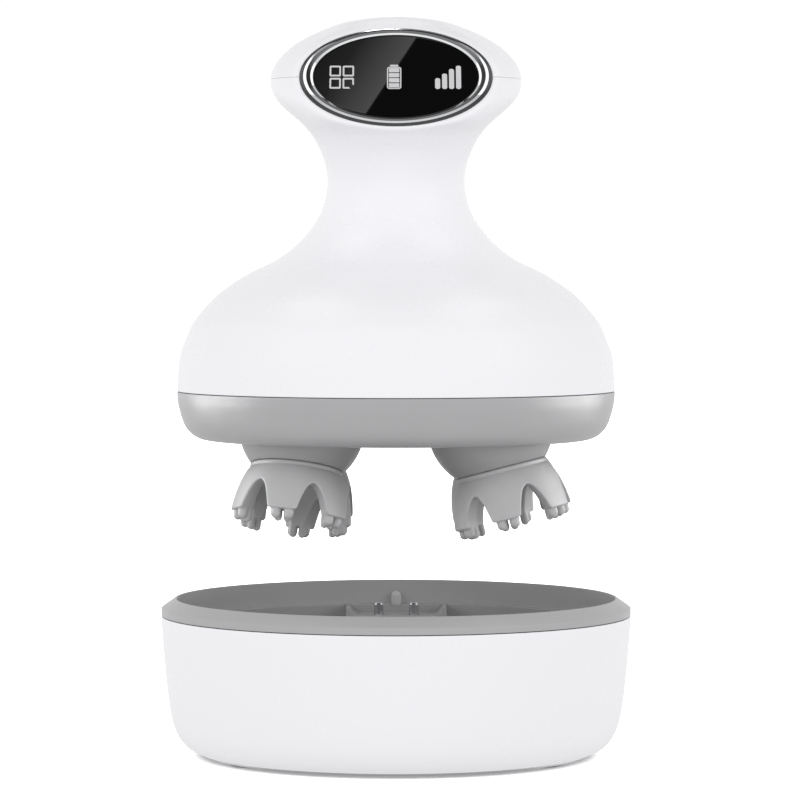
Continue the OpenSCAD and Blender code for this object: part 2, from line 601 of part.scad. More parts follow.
module motor_pinion() {
    color(steel) translate([pinion_x, pinion_y, gear_z0]) difference() {
        gear(pinion_z, gear_t + 0.2, mesh_phase(pinion_dir, idler_z, 0, pinion_z));
        translate([0, 0, -1]) cylinder(r = 1.5, h = gear_t + 2, $fn = 32);
    }
}

module motor_shaft() {
    color(steel) translate([pinion_x, pinion_y, gear_z0 + 0.2]) cylinder(r = 1.5, h = 102.5 - gear_z0 - 0.2, $fn = 32);
}

// ---------------------------------------------------------------- massage heads

// Frame of a head's tilted part: the origin is the ball centre, -z runs down the tilted axis
module on_head(x, y, dir) { translate([x, y, ball_z]) rotate([0, 0, dir]) rotate([0, -tilt, 0]) children(); }

module hub(x, y, dir) {
    color(grey) difference() {
        intersection() {
            translate([x, y, ball_z]) sphere(r = ball_r, $fn = 96);
            union() {
                translate([x, y, 81.6]) cylinder(r = hub_hole_r - 0.3, h = 4.4, $fn = 96);
                translate([x, y, 60]) cylinder(r = 20, h = 21.6, $fn = 96);
            }
        }
        on_head(x, y, dir) translate([-30, -30, -40.8]) cube([60, 60, 30]);
        // bore for the shaft
        translate([x, y, 78.6]) cylinder(r = 2.5, h = 10, $fn = 48);
        // hollow round the shaft's boss
        translate([x, y, 0]) difference() {
            translate([0, 0, 79.6]) cylinder(r = 12.6, h = 10, $fn = 64);
            translate([0, 0, 70]) cylinder(r = 5.2, h = 20, $fn = 48);
        }
        // hole for the claw screw
        on_head(x, y, dir) translate([0, 0, -14]) cylinder(r = 1.25, h = 5.6, $fn = 32);
    }
}
module hub_front_left() { hub(-hub_x, -hub_y, lean_left); }
module hub_front_right() { hub(hub_x, -hub_y, lean_right); }
module hub_rear_left() { hub(-hub_x, hub_y, lean_left); }
module hub_rear_right() { hub(hub_x, hub_y, lean_right); }

claw_out = [[11.5, -10.8], [11.75, -11.1], [11.85, -11.8], [12.1, -12.4], [12.9, -14.2], [13.6, -16.2], [14.1, -18.2], [14.5, -20.2], [14.8, -22.2], [14.95, -23.6]];
claw_in = [[10.9, -23.6], [10.6, -20], [10.1, -16.5], [9.2, -14.4], [7.5, -13.4], [0, -13.4]];

module claw(x, y, dir) {
    leg0 = leg_dir - dir;
    color(rubber_grey) on_head(x, y, dir) {
        difference() {
            rotate_extrude($fn = 96) polygon(concat([[0, -10.8]], claw_out, claw_in));
            // arches between the legs
            for (i = [0:legs - 1]) rotate([0, 0, leg0 + (i + 0.5) * 360 / legs]) translate([7.0, 0, 0]) rotate([90, 0, 90]) linear_extrude(height = 10) {
                translate([0, -19.5]) circle(r = 3.2, $fn = 48);
                polygon([[-3.16, -19.0], [-4.2, -24.5], [4.2, -24.5], [3.16, -19.0]]);
            }
            translate([0, 0, -20]) cylinder(r = 1.6, h = 12, $fn = 32);
        }
        // soft nubs under each leg
        for (i = [0:legs - 1]) rotate([0, 0, leg0 + i * 360 / legs]) {
            for (w = [-6.8, 6.8]) rotate([0, 0, w]) translate([13.5, 0, 0]) nub(nub_ro);
            for (w = [-5.6, 5.6]) rotate([0, 0, w]) translate([11.95 - 0.1, 0, 0]) nub(nub_ri, 0.5);
        }
    }
}

module nub(r, more = 0) {
    translate([0, 0, -23.6 - nub_len - more + r]) sphere(r = r, $fn = 32);
    translate([0, 0, -23.6 - nub_len - more + r]) cylinder(r = r, h = nub_len + more - r + 0.2, $fn = 32);
}

module claw_front_left() { claw(-hub_x, -hub_y, lean_left); }
module claw_front_right() { claw(hub_x, -hub_y, lean_right); }
module claw_rear_left() { claw(-hub_x, hub_y, lean_left); }
module claw_rear_right() { claw(hub_x, hub_y, lean_right); }

module claw_screw(x, y, dir) {
    color(steel) on_head(x, y, dir) difference() {
        union() {
            translate([0, 0, -15.0]) cylinder(r = 2.6, h = 1.6, $fn = 32);
            translate([0, 0, -13.4]) cylinder(r = 1.2, h = 4.9, $fn = 32);
        }
        for (w = [0, 90]) rotate([0, 0, w]) translate([-1.6, -0.3, -15.5]) cube([3.2, 0.6, 1.4]);
    }
}
module claw_screw_front_left() { claw_screw(-hub_x, -hub_y, lean_left); }
module claw_screw_front_right() { claw_screw(hub_x, -hub_y, lean_right); }
module claw_screw_rear_left() { claw_screw(-hub_x, hub_y, lean_left); }
module claw_screw_rear_right() { claw_screw(hub_x, hub_y, lean_right); }

// ---------------------------------------------------------------- motor and electrics

module motor_can() {
    color(steel) translate([can_x, can_y, 108]) {
        cylinder(r = 10.2, h = 24.6, $fn = 64);
        translate([0, 0, 24.6]) cylinder(r = 3.2, h = 1.2, $fn = 48);
        for (s = [-1, 1]) translate([s * 7 - 0.8, -0.3, 24.6]) cube([1.6, 0.6, 2.0]);
    }
}

module gearbox_can() {
    color([0.6, 0.6, 0.62]) difference() {
        translate([can_x, can_y, 97]) cylinder(r = 13.8, h = 11, $fn = 64);
        translate([pinion_x, pinion_y, 96]) cylinder(r = 1.56, h = 7.4, $fn = 48);
        for (s = [-1, 1]) translate([can_x + s * 9.5, can_y - 2, 96]) cylinder(r = 1.0, h = 5.5, $fn = 32);
    }
}

module motor_screws() {
    color(steel) for (s = [-1, 1]) translate([can_x + s * 9.5, can_y - 2, 0]) difference() {
        union() {
            translate([0, 0, 95.15]) cylinder(r = 1.9, h = 0.75, $fn = 32);
            translate([0, 0, 95.9]) cylinder(r = 0.95, h = 5.0, $fn = 32);
        }
        translate([-1.3, -0.2, 95]) cube([2.6, 0.4, 0.5]);
    }
}

bat_y = -18.0;
bat_z = 108.6;

module battery_cell() {
    color([0.15, 0.35, 0.6]) translate([-32.0, bat_y, bat_z]) rotate([0, 90, 0]) cylinder(r = 9.1, h = 64.0, $fn = 64);
    color(steel) translate([32.0, bat_y, bat_z]) rotate([0, 90, 0]) cylinder(r = 3.0, h = 1.0, $fn = 32);
}

module battery_bracket() {
    color([0.2, 0.2, 0.22]) difference() {
        union() {
            translate([-27, bat_y - 9.6, 97]) cube([54, 19.2, 1.6]);
            for (x = [-25, 19]) translate([x, bat_y - 10.6, 97]) cube([6, 21.2, 12.6]);
            // posts that carry the main circuit board
            for (x = [-22, 22]) translate([x, bat_y + 9.9, 97]) cylinder(r = 1.5, h = 23.2, $fn = 32);
        }
        translate([-40, bat_y, bat_z]) rotate([0, 90, 0]) cylinder(r = 9.15, h = 80, $fn = 64);
    }
}

module main_circuit_board() {
    color(board) union() {
        difference() {
            translate([-23.5, -23, 120.2]) cube([47, 17, 1.4]);
            for (x = [-22, 22]) translate([x, bat_y + 9.9, 119]) cylinder(r = 0.8, h = 4, $fn = 32);
        }
        translate([-5, -14, 121.6]) cube([10, 4, 1.0]);
        translate([-16, -20, 121.6]) cube([7, 7, 1.2]);
        translate([9, -20, 121.6]) cube([5, 4, 1.5]);
        translate([10, -13, 121.6]) cube([3, 3, 2.2]);
        translate([-20, -11, 121.6]) cube([3, 3, 1.4]);
    }
}

module battery_wires() {
    color([0.75, 0.1, 0.1]) {
        lead([[33.7, bat_y, 110.6], [34.0, bat_y, 113], [33.6, bat_y, 117], [31.5, -17.6, 118.9], [24.6, -17, 119.2], [22.2, -17, 119.5]], 0.5);
        lead([[-32.6, bat_y, 111.6], [-33.6, bat_y, 113.4], [-33.6, bat_y, 117], [-31.5, -17.6, 118.9], [-24.6, -17, 119.2], [-22.2, -17, 119.5]], 0.5);
    }
}

module motor_wires() {
    color([0.1, 0.1, 0.1]) for (s = [-1, 1])
        lead([[can_x + s * 7, can_y, 135.3], [can_x + s * 7, can_y - 3, 136.2], [s * 7, -6.5, 134], [s * 8, -8.5, 124], [s * 8, -8.5, 121.6]], 0.5);
    // leads from the charging contacts to the board
    color([0.8, 0.7, 0.1]) for (s = [-1, 1])
        lead([[s * pin_pitch / 2, pin_y, 90.1], [s * pin_pitch / 2, pin_y - 1, 92.5], [s * 6, 34.8, 98], [s * 9, 29, 112], [s * 15, 12, 119], [s * 17, -2.5, 119.2], [s * 17, -7.2, 119.2], [s * 17, -7.5, 120.2]], 0.5);
}

dock_outer_shell();
dock_tray();
dock_base_plate();
dock_rubber_feet();
dock_screws();
dock_light_guide();
dock_pin_holder();
dock_pin_barrels();
dock_pin_springs();
charging_pin_left();
charging_pin_right();
dock_circuit_board();
dock_usb_socket();
upper_housing();
head_cap();
display_bezel();
display_lens();
display_icons();
display_gasket();
display_board();
touch_springs();
ribbon_cable();
lower_skirt();
skirt_gasket();
housing_screws();
contact_pads();
contact_seals();
gearbox_lower_plate();
gearbox_upper_plate();
shaft_bushes();
shaft_seals();
idler_axles();
motor_can();
gearbox_can();
motor_screws();
motor_shaft();
motor_pinion();
idler_gear_left();
idler_gear_right();
output_gear_front_left();
output_gear_front_right();
output_gear_rear_left();
output_gear_rear_right();
hub_front_left();
hub_front_right();
hub_rear_left();
hub_rear_right();
claw_front_left();
claw_front_right();
claw_rear_left();
claw_rear_right();
claw_screw_front_left();
claw_screw_front_right();
claw_screw_rear_left();
claw_screw_rear_right();
battery_cell();
battery_bracket();
main_circuit_board();
battery_wires();
motor_wires();
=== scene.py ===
import bpy
import bmesh
import json
import math
import numpy as np
from mathutils import Matrix, Vector

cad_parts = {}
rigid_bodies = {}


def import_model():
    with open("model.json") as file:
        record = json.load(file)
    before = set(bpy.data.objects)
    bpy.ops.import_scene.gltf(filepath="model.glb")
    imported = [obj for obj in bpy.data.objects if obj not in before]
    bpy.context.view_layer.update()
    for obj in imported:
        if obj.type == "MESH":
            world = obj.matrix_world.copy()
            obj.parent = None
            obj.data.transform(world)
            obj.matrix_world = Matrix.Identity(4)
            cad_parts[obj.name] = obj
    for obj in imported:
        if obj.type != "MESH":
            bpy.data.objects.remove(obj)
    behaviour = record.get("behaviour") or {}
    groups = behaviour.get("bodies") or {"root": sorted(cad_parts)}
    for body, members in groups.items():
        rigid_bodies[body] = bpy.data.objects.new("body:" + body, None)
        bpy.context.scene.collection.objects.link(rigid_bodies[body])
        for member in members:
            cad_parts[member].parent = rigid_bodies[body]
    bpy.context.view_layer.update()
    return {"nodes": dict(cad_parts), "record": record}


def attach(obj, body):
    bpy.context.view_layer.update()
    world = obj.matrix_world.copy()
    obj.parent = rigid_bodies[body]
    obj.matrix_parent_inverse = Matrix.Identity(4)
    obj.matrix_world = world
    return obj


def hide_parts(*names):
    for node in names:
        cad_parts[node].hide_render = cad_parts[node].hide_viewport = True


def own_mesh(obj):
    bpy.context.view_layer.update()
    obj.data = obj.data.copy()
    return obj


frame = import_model()
NODES = frame["nodes"]

K = 0.87                      # depth of every oval as a share of its width
LEAN = math.radians(40)       # lean of the display from upright
DU = np.array((0.0, math.cos(math.radians(50)), math.sin(math.radians(50))))   # up the slope
DN = np.array((0.0, -math.sin(math.radians(50)), math.cos(math.radians(50))))  # out of the face
DISP = np.array((0.0, -12.0, 173.2)) - 0.9 * DU

# ------------------------------------------------------------------ mesh helpers (millimetres in, metres out)


def mesh_object(name, verts, faces):
    me = bpy.data.meshes.new(name)
    me.from_pydata((np.asarray(verts, float) * 0.001).tolist(), [], [[int(i) for i in f] for f in faces])
    me.update()
    ob = bpy.data.objects.new(name, me)
    bpy.context.scene.collection.objects.link(ob)
    return ob


def outward(ob):
    bm = bmesh.new()
    bm.from_mesh(ob.data)
    bmesh.ops.recalc_face_normals(bm, faces=bm.faces)
    bm.to_mesh(ob.data)
    bm.free()
    return ob


def settle(ob):
    """Puts the result of the object's modifiers into its mesh."""
    bpy.context.view_layer.update()
    dg = bpy.context.evaluated_depsgraph_get()
    new = bpy.data.meshes.new_from_object(ob.evaluated_get(dg), depsgraph=dg)
    ob.modifiers.clear()
    old = ob.data
    ob.data = new
    new.name = ob.name
    bpy.data.meshes.remove(old)
    return ob


def boolean(ob, tools, op="DIFFERENCE"):
    for tool in tools:
        m = ob.modifiers.new("b", "BOOLEAN")
        m.operation = op
        m.object = tool
        m.solver = "MANIFOLD"
        settle(ob)
        bpy.data.objects.remove(tool)
    return ob


def tidy(ob, dist=0.004):
    bm = bmesh.new()
    bm.from_mesh(ob.data)
    bmesh.ops.remove_doubles(bm, verts=bm.verts, dist=dist * 0.001)
    bmesh.ops.dissolve_degenerate(bm, edges=bm.edges, dist=dist * 0.0005)
    bm.to_mesh(ob.data)
    bm.free()
    return ob


def shade(ob, angle=32):
    ob.data.shade_smooth()
    ob.data.set_sharp_from_angle(angle=math.radians(angle))
    return ob


def corners(pts, seg=5, closed=True):
    """Rounds the corners of an outline. Each point is (x, z, radius)."""
    out, n = [], len(pts)
    for i, q in enumerate(pts):
        p = np.array(q[:2], float)
        r = q[2] if len(q) > 2 else 0.0
        if r <= 0 or (not closed and i in (0, n - 1)):
            out.append(tuple(p))
            continue
        a, b = np.array(pts[i - 1][:2], float), np.array(pts[(i + 1) % n][:2], float)
        la, lb = np.linalg.norm(a - p), np.linalg.norm(b - p)
        u, v = (a - p) / la, (b - p) / lb
        half = math.acos(max(-1, min(1, float(u @ v)))) / 2
        t = min(r / max(math.tan(half), 1e-6), 0.49 * la, 0.49 * lb)
        s, e = p + u * t, p + v * t
        for k in range(seg + 1):
            w = k / seg
            out.append(tuple((1 - w) ** 2 * s + 2 * w * (1 - w) * p + w * w * e))
    return out


def spline(pts, per=6):
    """Centripetal Catmull-Rom curve through points of any dimension."""
    p = np.array(pts, float)
    p = np.vstack([2 * p[0] - p[1], p, 2 * p[-1] - p[-2]])
    out = []
    for i in range(1, len(p) - 2):
        t = [0.0]
        for j in range(3):
            t.append(t[-1] + max(np.linalg.norm(p[i + j] - p[i + j - 1]), 1e-9) ** 0.5)
        for k in range(per):
            x = t[1] + (t[2] - t[1]) * k / per
            a = [((t[j + 1] - x) * p[i - 1 + j] + (x - t[j]) * p[i + j]) / (t[j + 1] - t[j]) for j in range(3)]
            b = [((t[j + 2] - x) * a[j] + (x - t[j]) * a[j + 1]) / (t[j + 2] - t[j]) for j in range(2)]
            out.append(tuple(((t[2] - x) * b[0] + (x - t[1]) * b[1]) / (t[2] - t[1])))
    out.append(tuple(p[-2]))
    return out


def turned(name, outline, n=192, k=1.0, chain=False, place=None, both=None):
    """A body turned about z and squeezed to an oval. outline is (half width, level) points in order, closed unless chain is
    true; a point with no width is a pole. both gives the half height of each point instead of k."""
    verts, rings = [], []
    ang = np.linspace(0, 2 * math.pi, n, endpoint=False)
    for i, q in enumerate(outline):
        a, z = q[0], q[-1]
        b = both[i] if both is not None else a * k
        if a < 1e-6:
            rings.append([len(verts)])
            verts.append((0, 0, z))
        else:
            rings.append(list(range(len(verts), len(verts) + n)))
            verts.extend(zip(a * np.cos(ang), b * np.sin(ang), np.full(n, z)))
    faces = []
    m = len(rings)
    for j in range(m - 1 if chain else m):
        r, s = rings[j], rings[(j + 1) % m]
        if len(r) == 1 and len(s) == 1:
            continue
        for i in range(n):
            i2 = (i + 1) % n
            if len(r) == 1:
                faces.append((r[0], s[i2], s[i]))
            elif len(s) == 1:
                faces.append((r[i], r[i2], s[0]))
            else:
                faces.append((r[i], r[i2], s[i2], s[i]))
    v = np.array(verts, float)
    if place is not None:
        v = place(v)
    return outward(mesh_object(name, v, faces))


def on_display(v):
    v = np.asarray(v, float)
    return DISP + np.outer(v[:, 0], (1, 0, 0)) + np.outer(v[:, 1], DU) + np.outer(v[:, 2], DN)


def block(name, lo, hi, radius=0.0, seg=3):
    """A box with rounded edges."""
    bm = bmesh.new()
    bmesh.ops.create_cube(bm, size=1.0)
    for v in bm.verts:
        v.co = Vector([(lo[i] + hi[i]) / 2 + v.co[i] * (hi[i] - lo[i]) for i in range(3)])
    if radius > 0:
        bmesh.ops.bevel(bm, geom=list(bm.edges), offset=radius, segments=seg, profile=0.5, affect="EDGES")
    for v in bm.verts:
        v.co *= 0.001
    me = bpy.data.meshes.new(name)
    bm.to_mesh(me)
    bm.free()
    ob = bpy.data.objects.new(name, me)
    bpy.context.scene.collection.objects.link(ob)
    return outward(ob)


def prism(name, outline, a0, a1, axis="z"):
    """A straight body from a closed outline, between two levels along an axis. For axis y the outline is (x, z)."""
    n = len(outline)
    v = []
    for lev in (a0, a1):
        for p in outline:
            v.append((p[0], p[1], lev) if axis == "z" else (p[0], lev, p[1]) if axis == "y" else (lev, p[0], p[1]))
    f = [list(range(n))[::-1], list(range(n, 2 * n))]
    f += [(i, (i + 1) % n, n + (i + 1) % n, n + i) for i in range(n)]
    return outward(mesh_object(name, v, f))


def dress(ob, body, mat, nodes=(), sharp=32):
    shade(ob, sharp)
    ob.data.materials.clear()
    ob.data.materials.append(mat)
    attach(ob, body)
    if nodes:
        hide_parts(*nodes)
    return ob


# ------------------------------------------------------------------ materials


def material(name, colour, rough, metallic=0.0, grain=0.0, grain_scale=900.0, mottle=0.0, mottle_scale=60.0,
             rough_var=0.05, ior=1.5, coat=0.0, coat_rough=0.1, sheen=0.0, sss=0.0, wear=0.0, specular=0.5, transmission=0.0,
             brushed=None, emission=0.0, dust=0.0):
    m = bpy.data.materials.new(name)
    m.use_nodes = True
    nt = m.node_tree
    nd, ln = nt.nodes, nt.links
    bsdf = nd["Principled BSDF"]
    bsdf.inputs["Base Color"].default_value = (*colour, 1)
    bsdf.inputs["Roughness"].default_value = rough
    bsdf.inputs["Metallic"].default_value = metallic
    bsdf.inputs["IOR"].default_value = ior
    bsdf.inputs["Specular IOR Level"].default_value = specular
    bsdf.inputs["Coat Weight"].default_value = coat
    bsdf.inputs["Coat Roughness"].default_value = coat_rough
    bsdf.inputs["Sheen Weight"].default_value = sheen
    bsdf.inputs["Subsurface Weight"].default_value = sss
    bsdf.inputs["Subsurface Radius"].default_value = (0.002, 0.002, 0.002)
    bsdf.inputs["Subsurface Scale"].default_value = 1.0
    bsdf.inputs["Transmission Weight"].default_value = transmission
    if emission:
        bsdf.inputs["Emission Color"].default_value = (*colour, 1)
        bsdf.inputs["Emission Strength"].default_value = emission
    tc = nd.new("ShaderNodeTexCoord")
    co = tc.outputs["Object"]
    if brushed:
        mp = nd.new("ShaderNodeMapping")
        mp.inputs["Scale"].default_value = brushed
        ln.new(co, mp.inputs["Vector"])
        co = mp.outputs["Vector"]

    def noise(scale, detail=3.0, rough_=0.5):
        n = nd.new("ShaderNodeTexNoise")
        n.inputs["Scale"].default_value = scale
        n.inputs["Detail"].default_value = detail
        n.inputs["Roughness"].default_value = rough_
        ln.new(co, n.inputs["Vector"])
        return n.outputs["Fac"]

    def ranged(fac, lo, hi, a=0.3, b=0.7):
        r = nd.new("ShaderNodeMapRange")
        r.inputs["From Min"].default_value = a
        r.inputs["From Max"].default_value = b
        r.inputs["To Min"].default_value = lo
        r.inputs["To Max"].default_value = hi
        ln.new(fac, r.inputs["Value"])
        return r.outputs["Result"]

    broad = noise(mottle_scale, 4.0)
    if mottle or wear or dust:
        mix = nd.new("ShaderNodeMix")
        mix.data_type = "RGBA"
        mix.inputs["A"].default_value = (*[c * (1 - mottle) for c in colour], 1)
        mix.inputs["B"].default_value = (*[min(1.0, c * (1 + mottle)) for c in colour], 1)
        ln.new(ranged(broad, 0, 1), mix.inputs["Factor"])
        last = mix.outputs["Result"]
        if wear:
            geo = nd.new("ShaderNodeNewGeometry")
            edge = nd.new("ShaderNodeMix")
            edge.data_type = "RGBA"
            ln.new(last, edge.inputs["A"])
            edge.inputs["B"].default_value = (*[min(1.0, c * 1.25 + 0.03) for c in colour], 1)
            ln.new(ranged(geo.outputs["Pointiness"], 0, wear, 0.5, 0.62), edge.inputs["Factor"])
            last = edge.outputs["Result"]
        ln.new(last, bsdf.inputs["Base Color"])
    if rough_var:
        ln.new(ranged(noise(mottle_scale * 2.3, 5.0, 0.6), max(0.0, rough - rough_var), min(1.0, rough + rough_var)),
               bsdf.inputs["Roughness"])
    if grain:
        bump = nd.new("ShaderNodeBump")
        bump.inputs["Strength"].default_value = grain
        bump.inputs["Distance"].default_value = 0.0002
        ln.new(noise(grain_scale, 4.0, 0.6), bump.inputs["Height"])
        ln.new(bump.outputs["Normal"], bsdf.inputs["Normal"])
    return m


M = {
    "white_shell": material("white_gloss_plastic", (0.84, 0.838, 0.866), 0.27, grain=0.004, grain_scale=2600, mottle_scale=25,
                            rough_var=0.02),
    "grey_shell": material("grey_moulded_plastic", (0.372, 0.372, 0.38), 0.34, grain=0.06, grain_scale=4200, mottle=0.012,
                           mottle_scale=90, rough_var=0.05),
    "grey_tray": material("grey_tray_plastic", (0.39, 0.39, 0.396), 0.34, grain=0.06, grain_scale=4200, mottle=0.012,
                          mottle_scale=90, rough_var=0.05),
    "grey_hub": material("grey_hub_plastic", (0.31, 0.31, 0.316), 0.38, grain=0.07, grain_scale=4200, mottle=0.015,
                         mottle_scale=90, rough_var=0.05),
    "silicone": material("grey_silicone", (0.405, 0.405, 0.412), 0.50, grain=0.06, grain_scale=3600, mottle=0.02,
                         mottle_scale=120, rough_var=0.06, sheen=0.08, sss=0.05),
    "rubber_black": material("black_rubber", (0.02, 0.02, 0.021), 0.75, grain=0.2, grain_scale=3000, mottle=0.15,
                             mottle_scale=200),
    "chrome": material("polished_chrome", (0.80, 0.81, 0.82), 0.07, metallic=1.0, grain=0.01, grain_scale=3000,
                       mottle=0.02, mottle_scale=80, rough_var=0.02),
    # the next two are darker copies of the polished chrome: their base colours paint the dark and grey reflections of
    # the bezel's outer slope and inner land
    "chrome_dark": material("chrome_painted_dark_reflection", (0.075, 0.075, 0.078), 0.12, metallic=1.0, grain=0.01, grain_scale=3000,
                            mottle=0.05, mottle_scale=80, rough_var=0.02),
    "chrome_grey": material("chrome_painted_grey_reflection", (0.45, 0.45, 0.465), 0.10, metallic=1.0, grain=0.01, grain_scale=3000,
                            mottle=0.03, mottle_scale=80, rough_var=0.02),
    "lens_black": material("black_glossy_lens", (0.0022, 0.0022, 0.0025), 0.009, grain=0.0, mottle=0.1, mottle_scale=50,
                           rough_var=0.003, ior=1.5),
    "icon_light": material("icon_ink", (0.53, 0.53, 0.54), 0.5, mottle=0.02, mottle_scale=300, emission=0.1),
    "steel": material("polished_steel", (0.62, 0.62, 0.63), 0.22, metallic=1.0, grain=0.03, grain_scale=2500, mottle=0.05,
                      mottle_scale=300),
    "gold_contact": material("gold_plate", (0.80, 0.58, 0.22), 0.25, metallic=1.0, grain=0.03, grain_scale=2500,
                             mottle=0.06, mottle_scale=300),
    "bush_brass": material("sintered_brass", (0.55, 0.40, 0.18), 0.42, metallic=1.0, grain=0.15, grain_scale=4000,
                           mottle=0.12, mottle_scale=500),
    "board_green": material("circuit_board_green", (0.015, 0.12, 0.05), 0.35, grain=0.15, grain_scale=1500, mottle=0.2,
                            mottle_scale=400, coat=0.3),
    "black_plastic": material("black_moulded_plastic", (0.03, 0.03, 0.032), 0.5, grain=0.12, grain_scale=3500,
                              mottle=0.1, mottle_scale=150),
    "acetal": material("white_acetal", (0.78, 0.77, 0.72), 0.38, grain=0.05, grain_scale=2500, mottle=0.03,
                       mottle_scale=150, sss=0.05),
    "light_pipe": material("light_pipe_plastic", (0.56, 0.56, 0.565), 0.22, grain=0.04, grain_scale=2500, mottle=0.03,
                           mottle_scale=200, coat=0.2),
    "flat_cable": material("flat_cable_film", (0.62, 0.52, 0.30), 0.35, grain=0.1, grain_scale=800, mottle=0.08,
                           mottle_scale=300, brushed=(1.0, 0.05, 0.05)),
    "battery_wrap": material("battery_wrap", (0.05, 0.16, 0.42), 0.3, grain=0.08, grain_scale=700, mottle=0.05,
                             mottle_scale=100, coat=0.3),
    "wire_red": material("red_insulation", (0.5, 0.02, 0.02), 0.45, grain=0.08, grain_scale=1500, mottle=0.08,
                         mottle_scale=300),
    "wire_black": material("black_insulation", (0.02, 0.02, 0.02), 0.45, grain=0.08, grain_scale=1500, mottle=0.1,
                           mottle_scale=300),
}

# every carried-over node takes its slot's finish
slots = {}
for part in frame["record"].get("subparts", []):
    slots[part["node"]] = part.get("material_slot")
for name, ob in NODES.items():
    s = slots.get(name)
    if s in M:
        ob.data.materials.clear()
        ob.data.materials.append(M[s])

# ------------------------------------------------------------------ the white body

FLAT = -24.0
SECT = [(93.25, 56.0, -48.7, 48.7), (98.2, 55.7, -48.4, 48.4), (103.3, 55.0, -47.7, 47.7), (107, 53.5, -46.5, 46.5),
        (110, 52.3, -45.4, 45.4), (113.5, 49.7, -43.2, 43.2), (116.2, 47.3, -41.1, 41.1), (118.6, 44.4, -38.6, 38.6),
        (121.2, 40.7, -35.4, 35.4), (123.8, 36.2, -31.6, 31.5), (126.3, 30.9, -27.4, 27.2), (128.9, 27.1, -24.4, 24.1),
        (131.4, 24.3, -22.1, 21.7), (134.5, 21.7, -20.0, 19.4), (138, 19.4, -18.3, 17.6), (142, 18.0, -17.2, 16.6),
        (146.8, 17.4, -17.0, 16.4), (151, 18.0, -17.9, 16.7), (154.4, 19.2, -19.4, 17.3), (157.2, 20.6, -21.4, 18.1),
        (159.3, 22.1, -23.6, 18.8), (161, 23.6, FLAT, 19.5), (163, 25.9, FLAT, 20.2), (165, 28.2, FLAT, 20.9),
        (167.2, 30.3, FLAT, 21.7), (169.8, 31.6, FLAT, 22.5), (172.6, 32.0, FLAT, 23.0), (174.9, 31.6, FLAT, 23.0),
        (177.4, 30.2, FLAT, 22.4), (180, 27.9, FLAT, 21.0), (182, 25.3, FLAT, 19.2), (184.1, 21.6, FLAT, 16.2),
        (186, 17.1, FLAT, 12.7), (187.2, 13.6, -0.2, 9.6), (188.0, 9.3, 0.9, 7.2), (188.45, 5.0, 1.9, 5.0),
        (188.6, 1.6, 2.8, 3.9)]
SPLIT = 172.6


def plane_y(z):
    return -12.0 + (z - 173.2) * math.tan(LEAN)


def front_of(z, a, f, r):
    if f != FLAT:
        return f
    v = (z - DISP[2]) / math.cos(LEAN)
    q = 1 - v * v / (18.2 * 18.2)
    w = (25.4 * math.sqrt(q) if q > 0 else 0) / a
    b = (r - plane_y(z)) / (1 + math.sqrt(max(0, 1 - w * w)))
    return r - 2 * b


rows = np.array([(z, a, front_of(z, a, f, r), r) for z, a, f, r in SECT])


def natural(t, y, q):
    """Natural cubic spline."""
    n = len(t)
    h = np.diff(t)
    A = np.zeros((n, n))
    b = np.zeros((n, y.shape[1]))
    A[0, 0] = A[-1, -1] = 1
    for i in range(1, n - 1):
        A[i, i - 1], A[i, i], A[i, i + 1] = h[i - 1], 2 * (h[i - 1] + h[i]), h[i]
        b[i] = 6 * ((y[i + 1] - y[i]) / h[i] - (y[i] - y[i - 1]) / h[i - 1])
    m = np.linalg.solve(A, b)
    j = np.clip(np.searchsorted(t, q) - 1, 0, n - 2)
    x0, x1, H = t[j], t[j + 1], h[j]
    A_, B_ = ((x1 - q) / H)[:, None], ((q - x0) / H)[:, None]
    return A_ * y[j] + B_ * y[j + 1] + ((A_ ** 3 - A_) * m[j] + (B_ ** 3 - B_) * m[j + 1]) * (H ** 2)[:, None] / 6


t_rows = np.concatenate([[0], np.cumsum(np.hypot(np.diff(rows[:, 0]), np.diff(rows[:, 1])))])
STEP_T = 0.45
t_fine = np.linspace(0, t_rows[-1], int(t_rows[-1] / 0.15))
fine = natural(t_rows, rows, t_fine)


def soften(arr, sigma):
    w = int(4 * sigma)
    k = np.exp(-0.5 * (np.arange(-w, w + 1) / sigma) ** 2)
    k /= k.sum()
    pad = np.vstack([2 * arr[0] - arr[w:0:-1], arr, 2 * arr[-1] - arr[-2:-w - 2:-1]])
    return np.stack([np.convolve(pad[:, c], k, "valid") for c in range(arr.shape[1])], 1)


fine = soften(fine, 1.1 / 0.15)
# the softened rows keep their levels rising
fine[:, 0] = np.maximum.accumulate(fine[:, 0] + np.arange(len(fine)) * 1e-7)


def at_level(z):
    return np.array([np.interp(z, fine[:, 0], fine[:, c]) for c in (1, 2, 3)])


NA = 288
ANG = np.linspace(0, 2 * math.pi, NA, endpoint=False)


def body_ring(z, a, f, r, inset=0.0, wall=0.0, k=1.7):
    """One level of the body: an oval cut off softly at the display plane."""
    a, f, r = a - inset, f + inset, r - inset
    c, b = (f + r) / 2, (r - f) / 2
    x, y = a * np.cos(ANG), c + b * np.sin(ANG)
    if z > 157:
        p = plane_y(z) + (wall + inset) / math.cos(LEAN)
        d = np.maximum(k - np.abs(y - p), 0) / k
        y = np.maximum(y, p) + d * d * k / 4
    return np.stack([x, y, np.full(NA, z)], 1)


